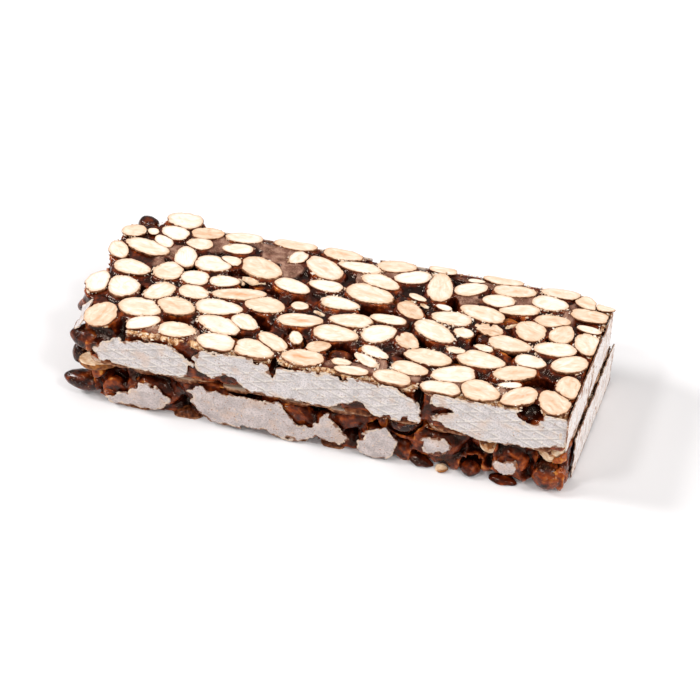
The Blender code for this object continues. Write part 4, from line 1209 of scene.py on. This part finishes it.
# ---- Wafer --------------------------------------------------------------------------------------
def build_sheet(node, seed, material, solids, embossed, overhang):
    """A torn sheet on its CAD sheet's outline, sagging onto the solids behind it."""
    step = FINE_SHEET_GRID if embossed else SHEET_GRID
    points, triangles = cad_mesh(node)
    a, b, c = (points[triangles[:, i]] for i in range(3))
    normals = np.cross(b - a, c - a)
    outward = normals[np.linalg.norm(normals, axis=1).argmax()]
    outward /= np.linalg.norm(outward)
    if points.mean(0)[:2] @ outward[:2] < 0:
        outward = -outward
    along = np.cross(UP, outward)
    loops, plane = face_loops(node, outward)
    loop = np.stack([loops[0] @ along, loops[0][:, 2]], 1)
    low, high = loop.min(0) - 2.5, loop.max(0) + 2.5
    u, v = np.meshgrid(np.arange(low[0], high[0], step), np.arange(low[1], high[1], step), indexing="ij")
    flat = np.stack([u, v], -1)
    edge = polygon_distance(u, v, loop) - overhang
    edge += 0.50 * noise_at(flat, 2.3, seed) + 0.32 * noise_at(flat, 0.9, seed + 1)
    edge += 1.5 * smoothstep(0.30, 0.75, noise_at(flat, 3.4, seed + 6))
    side = next(key for key in SHEET_TOPS if key in node)
    wall = u[..., None] * along + plane * outward
    edge -= CORNER_OVERHANG * (1 - smoothstep(1.5, 4.5, np.hypot(*(wall[..., :2] - FRONT_CORNER).T).T))
    edge = np.maximum(np.maximum(edge, 0.35 - v), v - SHEET_TOPS[side])
    if node in SHEET_HOLES:
        hole_u, hole_v, half_u, half_v = SHEET_HOLES[node]
        hole = 1 - np.hypot((u - hole_u) / half_u, (v - hole_v) / half_v)
        edge = np.maximum(edge, half_v * (hole + 0.12 * noise_at(flat, 1.5, seed + 8)))
    slope_u, slope_v = np.gradient(edge, step)
    steep = np.maximum(slope_u**2 + slope_v**2, 0.3)
    near = abs(edge) < 0.62 * step
    shift = np.where(near, edge / steep, 0)
    kept = (edge < 0) | near

    place = (u - shift * slope_u)[..., None] * along + (v - shift * slope_v)[..., None] * UP + plane * outward
    if side == "corner":
        (u0, v0), (u1, v1) = loop.min(0), loop.max(0)
        s, t = (((u - shift * slope_u) - u0) / (u1 - u0))[..., None], ((v1 - v + shift * slope_v) / (v1 - v0))[..., None]
        a, b, c, d = np.array(LEANING_SHEET)
        place = (a * (1 - s) + b * s) * (1 - t) + (c * (1 - s) + d * s) * t
        outward = leaning_plane()[1]
    depth = ray_heights(solids, place + 30 * outward, -outward, 33.5) - 30
    soft = blur(np.clip(depth, 0, 3.0), 6)
    closest = np.minimum.reduce([np.roll(depth, (i, j), (0, 1)) for i in (-2, 0, 2) for j in (-2, 0, 2)])
    sag = np.clip(0.8 * (soft - 0.9), 0, 1.5)
    relief = 0.10 * noise_at(flat, 3.0, seed + 2) + 0.05 * noise_at(flat, 1.0, seed + 3)
    line = np.zeros(u.shape)
    # line is 1 on the ridge lines and -1 in the grooves beside them; besides the relief it sets where the wafer
    # material paints a highlight and a shadow.
    if embossed:
        for turn, pitch in EMBOSSED_LINES:
            across = u * math.sin(math.radians(turn)) + v * math.cos(math.radians(turn))
            share = ((across / pitch + 0.10 * noise_at(flat, 9, seed + 4)) % 1 - 0.5) * pitch
            ridge = 1 - smoothstep(0.05, 0.45, abs(share - 0.25))
            groove = 1 - smoothstep(0.05, 0.50, abs(share + 0.35))
            line = np.where(abs(line) > np.maximum(ridge, groove), line, ridge - groove)
        line *= smoothstep(-0.9, 0.0, noise_at(flat, 4.0, seed + 7))
        relief += 0.18 * line
    thin = smoothstep(0.0, 0.9, -edge)
    curl = 0.45 * (1 - smoothstep(0.0, 1.8, -edge)) * noise_at(flat, 3.0, seed + 5)
    outer = np.minimum(-0.16 - sag + relief * thin + curl, 0.0)
    outer = np.minimum(np.maximum(outer, SHEET_THICKNESS + 0.18 - closest), -0.02)
    inner = outer - SHEET_THICKNESS * (0.6 + 0.4 * thin)

    number = np.full(u.shape, -1)
    number[kept] = np.arange(kept.sum())
    corners = [(slice(None, -1), slice(None, -1)), (slice(1, None), slice(None, -1)),
               (slice(1, None), slice(1, None)), (slice(None, -1), slice(1, None))]
    quads = np.stack([number[corner] for corner in corners], -1).reshape(-1, 4)
    deepest = np.stack([edge[corner] for corner in corners], -1).reshape(-1, 4).min(1)
    quads = quads[(quads >= 0).all(1) & (deepest < -0.1 * step)]
    used = np.unique(quads)
    renumber = np.full(kept.sum(), -1)
    renumber[used] = np.arange(len(used))
    quads = renumber[quads]
    front = (place + outer[..., None] * outward)[kept][used]
    rear = (place + inner[..., None] * outward)[kept][used]
    directed = {(quad[i], quad[(i + 1) % 4]) for quad in quads.tolist() for i in range(4)}
    sides = [(q, p, p + len(used), q + len(used)) for p, q in directed if (q, p) not in directed]
    faces = quads.tolist() + [[i + len(used) for i in quad[::-1]] for quad in quads.tolist()] + sides
    marks = 1 - smoothstep(0.0, 2.2, -edge[kept][used])
    return make_piece(
        node + "_sheet", np.concatenate([front, rear]), faces, material, (node,), "wafer",
        edge=np.concatenate([marks, np.ones(len(used))]),
        line=np.concatenate([line[kept][used], np.zeros(len(used))]),
    )


# ---- Small things in the gaps of the top ----------------------------------------------------------
def whole_almond(centre, size, turn, seed, level=None):
    """Points, faces and the along and around places of an almond; above level it is broken off."""
    around, rings = 28, 16
    angles = np.linspace(0, 2 * np.pi, around, endpoint=False)
    lean = np.linspace(0.04, np.pi - 0.04, rings)
    sine = np.sin(lean)
    way = np.stack(
        [np.repeat(np.cos(lean), around), np.outer(sine, np.cos(angles)).ravel(), np.outer(sine, np.sin(angles)).ravel()],
        1,
    )
    local = way * np.array(size) / 2 * (1 + 0.05 * noise_at(way * 2.2 + 9 * seed, 1, 60))[:, None]
    local[:, 1:] *= 1 - 0.25 * way[:, :1]
    bared = np.full(len(local), -0.3)
    if level is not None:
        ragged = level + 0.35 * noise_at(local[:, :2] + 5 * seed, 2.0, 61)
        bared = np.where(local[:, 2] > ragged, 0.4, bared)
        local[:, 2] = np.minimum(local[:, 2], ragged)
    cut = np.stack([local[:, 0], np.tile(angles, rings) * 3.0, 0 * local[:, 0]], 1) + 17.0 * seed
    spin = np.array(Matrix.Rotation(math.radians(turn), 3, "Z"))
    return centre + ZERO + local @ spin.T, [face[::-1] for face in ring_faces(rings, around)], cut, bared


def build_whole_almonds(level, skin, bare):
    """Almonds in their skins that the saw just missed, and some more that stand out."""
    whole, broken = [], []
    for i, (x, y, length, width, turn, sunk, red) in enumerate(TOP_WHOLE_ALMONDS):
        centre = (x, y, level - sunk - 0.56 * width)
        points, faces, cut, _ = whole_almond(centre, (length, width, width), turn, i)
        whole.append((points, faces, {"cut": cut, "tone": np.full(len(cut), red)}))
    for i, (x, y, z, length, width, thickness, turn, red) in enumerate(LOOSE_ALMONDS):
        size = (length, width, thickness)
        if red is None:
            points, faces, _, bared = whole_almond((x, y, z), size, turn, 50 + i, 0.18 * thickness)
            broken.append((points, faces, {"bared": bared}))
        else:
            points, faces, cut, _ = whole_almond((x, y, z), size, turn, 50 + i)
            whole.append((points, faces, {"cut": cut, "tone": np.full(len(cut), red)}))
    points, faces, attributes = joined(whole)
    make_piece("whole_almonds", points, faces, skin, (), "almond", **attributes)
    points, faces, attributes = joined(broken)
    make_piece("broken_almonds", points, faces, bare, (), "almond", **attributes)


def build_shards(level, material):
    """Thin pale splinters left standing in the gaps."""
    parts = []
    u, v = np.meshgrid(np.linspace(-1, 1, 11), np.linspace(-1, 1, 5), indexing="ij")
    cells = np.arange(55).reshape(11, 5)
    quads = np.stack([cells[:-1, :-1], cells[1:, :-1], cells[1:, 1:], cells[:-1, 1:]], -1).reshape(-1, 4)
    ring = [*cells[:, 0], *cells[-1, 1:], *cells[-2::-1, -1], *cells[0, -2:0:-1]]
    sides = [(q, p, p + 55, q + 55) for p, q in zip(ring, ring[1:] + ring[:1])]
    faces = quads.tolist() + [tuple(i + 55 for i in quad[::-1]) for quad in quads.tolist()] + sides
    for i, (x, y, length, width, turn, lean) in enumerate(SHARDS):
        flat = np.stack([u * 3, v * 2], -1) + 7 * i
        ragged = 1 + 0.3 * noise_at(flat, 0.8, 71)
        place = np.stack([u * length / 2, v * width / 2 * ragged * (1 - 0.5 * u**2), 0.5 * noise_at(flat, 2, 72)], -1)
        place = place.reshape(-1, 3)
        spin = Matrix.Rotation(math.radians(turn), 3, "Z") @ Matrix.Rotation(math.radians(lean), 3, "X")
        both = np.concatenate([place + (0, 0, 0.2), place - (0, 0, 0.2)]) @ np.array(spin).T
        spot = np.array([x, y, level - 0.15 - both[:, 2].max()]) + ZERO
        parts.append((spot + both, faces, {"bared": np.full(len(both), 0.3)}))
    points, faces, attributes = joined(parts)
    return make_piece("shards", points, faces, material, (), "almond", **attributes)


# ---- Crumbs -------------------------------------------------------------------------------------
def build_crumbs(name, spots, tones, seed, material):
    """Small sharp bits that the saw left."""
    rng = np.random.default_rng(seed)
    corners = np.array([(1, 0, 0), (-1, 0, 0), (0, 1, 0), (0, -1, 0), (0, 0, 1), (0, 0, -1)], float)
    faces = [(0, 2, 4), (2, 1, 4), (1, 3, 4), (3, 0, 4), (2, 0, 5), (1, 2, 5), (3, 1, 5), (0, 3, 5)]
    parts = []
    for spot in spots:
        size = 0.20 + 0.55 * rng.random() ** 2.5
        shape = corners * size * rng.uniform(0.5, 1.6, (6, 1)) * (1.2, 0.8, 0.6)
        turn = np.array(Matrix.Rotation(rng.uniform(0, 6.28), 3, Vector(rng.normal(size=3))))
        shape = shape @ turn.T
        tone = np.full(6, np.clip(rng.normal(*tones), 0, 1))
        parts.append((spot + shape, faces, {"tone": tone}))
    points, faces, attributes = joined(parts)
    piece = make_piece(name, points, faces, material, (), "almond", **attributes)
    piece.data.shade_flat()
    return piece


def crumb_spots(face, start, heights):
    """Places on the top for crumbs: at the rims of the almonds and along the bar's edges."""
    rng = np.random.default_rng(77)
    low, high = face.outline.min(0), face.outline.max(0)
    tries = rng.uniform(low, high, (110000, 2))
    x, y = tries.T
    clear = face.clearance(x, y)
    inside = -polygon_distance(x, y, face.outline)
    dense = smoothstep(0.0, 0.6, noise_at(tries, 7.0, 78))
    edge = np.exp(-((inside - 1.0) / 1.2) ** 2)
    chance = np.exp(-((clear - 0.2) / 0.36) ** 2) * (0.012 + 0.30 * dense) + 0.10 * edge * (clear > -0.2)
    cell = ((tries - start[:2]) / GRID).round().astype(int)
    lying = heights[cell[:, 0], cell[:, 1]]
    on_almond = clear < -0.05
    kept = (rng.random(len(tries)) < chance) & (inside > 0.5) & (on_almond | (lying > face.level - 2.2))
    z = np.where(on_almond, face.level - 0.15, np.minimum(lying + 0.1 + 0.3 * rng.random(len(tries)), face.level - 0.2))
    return np.stack([x, y, z], 1)[kept]


def crust_spots(points, seed):
    """Places for the crumbs of a rough crust, close to the given points."""
    rng = np.random.default_rng(seed)
    points = points[noise_at(points, 3.0, seed) + rng.uniform(-0.8, 0.8, len(points)) > 0.2]
    return points + rng.uniform(-0.35, 0.35, points.shape)


# ---- Build --------------------------------------------------------------------------------------
def build_bar():
    caramel = caramel_material()
    kernel = kernel_material()
    skin = skin_material()
    bare = bare_material()
    crumb = crumb_material()

    faces = {}
    for slice_name, side, seed, fixed in (
        ("upper", 1, 11, TOP_ALMONDS), ("upper", -1, 12, ()), ("lower", 1, 13, ()), ("lower", -1, 14, ()),
    ):
        loops, level = face_loops(slice_name + "_slice", side * UP)
        longest = max(loops, key=lambda loop: np.ptp(loop[:, 0]))
        pockets = [loop for loop in loops if loop is not longest and len(loop) > 3]
        face = SawnFace(longest[:, :2], pockets, seed, fixed)
        face.level = side * level
        faces[slice_name, side] = face
        hidden = (slice_name, side) in (("upper", -1), ("lower", 1))
        points, polygons, attributes = face.build(face.level, side, SEAM_STRIP if hidden else None)
        place = "top" if side > 0 else "underside"
        make_piece(f"{slice_name}_sawn_almonds_{place}", points, polygons, kernel, (), "almond", **attributes)

    wafers = tree_of([n for n in NODES if "wafer" in n])
    crusts, tops = [], []
    for seed, slice_name in enumerate(("upper", "lower")):
        standing = [n for n in sorted(NODES) if n.startswith(slice_name + "_almond")]
        almonds = [ellipsoid_of(n) for n in standing]
        crust, top = build_caramel(
            slice_name + "_caramel", slice_name + "_slice", almonds,
            (faces[slice_name, 1], faces[slice_name, -1]), wafers, 20 + 10 * seed, caramel,
        )
        crusts.append(crust)
        tops.append(top)
        for i, node in enumerate(standing):
            finish = bare if node in BARE_ALMONDS else caramel if node in COATED_ALMONDS else skin
            build_standing_almond(node, 40 + i + 30 * seed, finish)

    # The end sheets' lighter base is partly painted light on the ends, which face the right-hand lamp. The front and
    # back sheets' darker base is partly painted shade. The lower slice's front and back sheets are darker still.
    paper = wafer_material("wafer", (0.69, 0.635, 0.625), 0.80)
    pressed = wafer_material("pressed_wafer", (0.58, 0.50, 0.48), 0.76)
    cracked = wafer_material("cracked_wafer", (0.87, 0.80, 0.77), 0.72, 1.0)
    solid = tree_of([n for n in NODES if "wafer" not in n])
    for i, node in enumerate(sorted(n for n in NODES if "wafer" in n)):
        upper = node.startswith("upper")
        overhang = OVERHANG.get(node, 0.35)
        material = cracked if "end" in node else paper if upper else pressed
        build_sheet(node, 200 + 7 * i, material, solid, upper and "front" in node, overhang)

    top = faces["upper", 1].level
    build_whole_almonds(top, skin, bare)
    build_shards(top, bare)
    build_crumbs("saw_crumbs", crumb_spots(faces["upper", 1], *tops[0]), (0.60, 0.26), 400, crumb)
    build_crumbs("crust_crumbs", crust_spots(np.concatenate(crusts), 410), (0.42, 0.30), 401, crumb)


def build_stage():
    """A white floor, soft light all round, a broad key from the left and two small sparkling lamps."""
    mesh = bpy.data.meshes.new("floor")
    size = 6.0
    mesh.from_pydata([(-size, -size, 0), (size, -size, 0), (size, size, 0), (-size, size, 0)], [], [(0, 1, 2, 3)])
    floor = bpy.data.objects.new("floor", mesh)
    bpy.context.scene.collection.objects.link(floor)
    white = Material("floor_white", 0.9)
    white.shader.inputs["Base Color"].default_value = (0.87, 0.85, 0.85, 1)
    white.shader.inputs["Specular IOR Level"].default_value = 0.0
    white.shader.inputs["Emission Color"].default_value = (1, 1, 1, 1)
    white.shader.inputs["Emission Strength"].default_value = FLOOR_GLOW
    mesh.materials.append(white.material)

    world = bpy.data.worlds.new("studio")
    bpy.context.scene.world = world
    world.use_nodes = True
    tree = world.node_tree
    place = tree.nodes.new("ShaderNodeTexCoord")
    split = tree.nodes.new("ShaderNodeSeparateXYZ")
    tree.links.new(place.outputs["Generated"], split.inputs["Vector"])
    ramp = tree.nodes.new("ShaderNodeValToRGB")
    ramp.color_ramp.elements[0].position = 0.0
    ramp.color_ramp.elements[0].color = (0.30, 0.30, 0.30, 1)
    ramp.color_ramp.elements[1].position = 0.75
    ramp.color_ramp.elements[1].color = (0.85, 0.85, 0.85, 1)
    tree.links.new(split.outputs["Z"], ramp.inputs["Fac"])
    tree.links.new(ramp.outputs["Color"], tree.nodes["Background"].inputs["Color"])
    tree.nodes["Background"].inputs["Strength"].default_value = WORLD_LIGHT

    for name, place, size, energy in LAMPS:
        light = bpy.data.lights.new(name, "AREA")
        light.shape = "DISK"
        light.size = size
        light.energy = energy
        lamp = bpy.data.objects.new(name, light)
        lamp.location = place
        lamp.rotation_euler = (-Vector(place)).to_track_quat("-Z", "Y").to_euler()
        bpy.context.scene.collection.objects.link(lamp)


def build_camera():
    """The camera looks down on the bar's front right side with a short telephoto lens."""
    azimuth, elevation = math.radians(16.45), math.radians(40.13)
    camera = bpy.data.cameras.new("camera")
    camera.lens = 85
    camera.sensor_width = 36
    camera.clip_end = 50
    eye = bpy.data.objects.new("camera", camera)
    eye.location = (Vector((146.57, -478.60, 440.87)) + Vector(ZERO)) * MM
    eye.rotation_euler = (math.pi / 2 - elevation, 0, azimuth)
    bpy.context.scene.collection.objects.link(eye)
    bpy.context.scene.camera = eye


build_bar()
build_stage()
build_camera()
bpy.context.scene.view_settings.view_transform = "Standard"
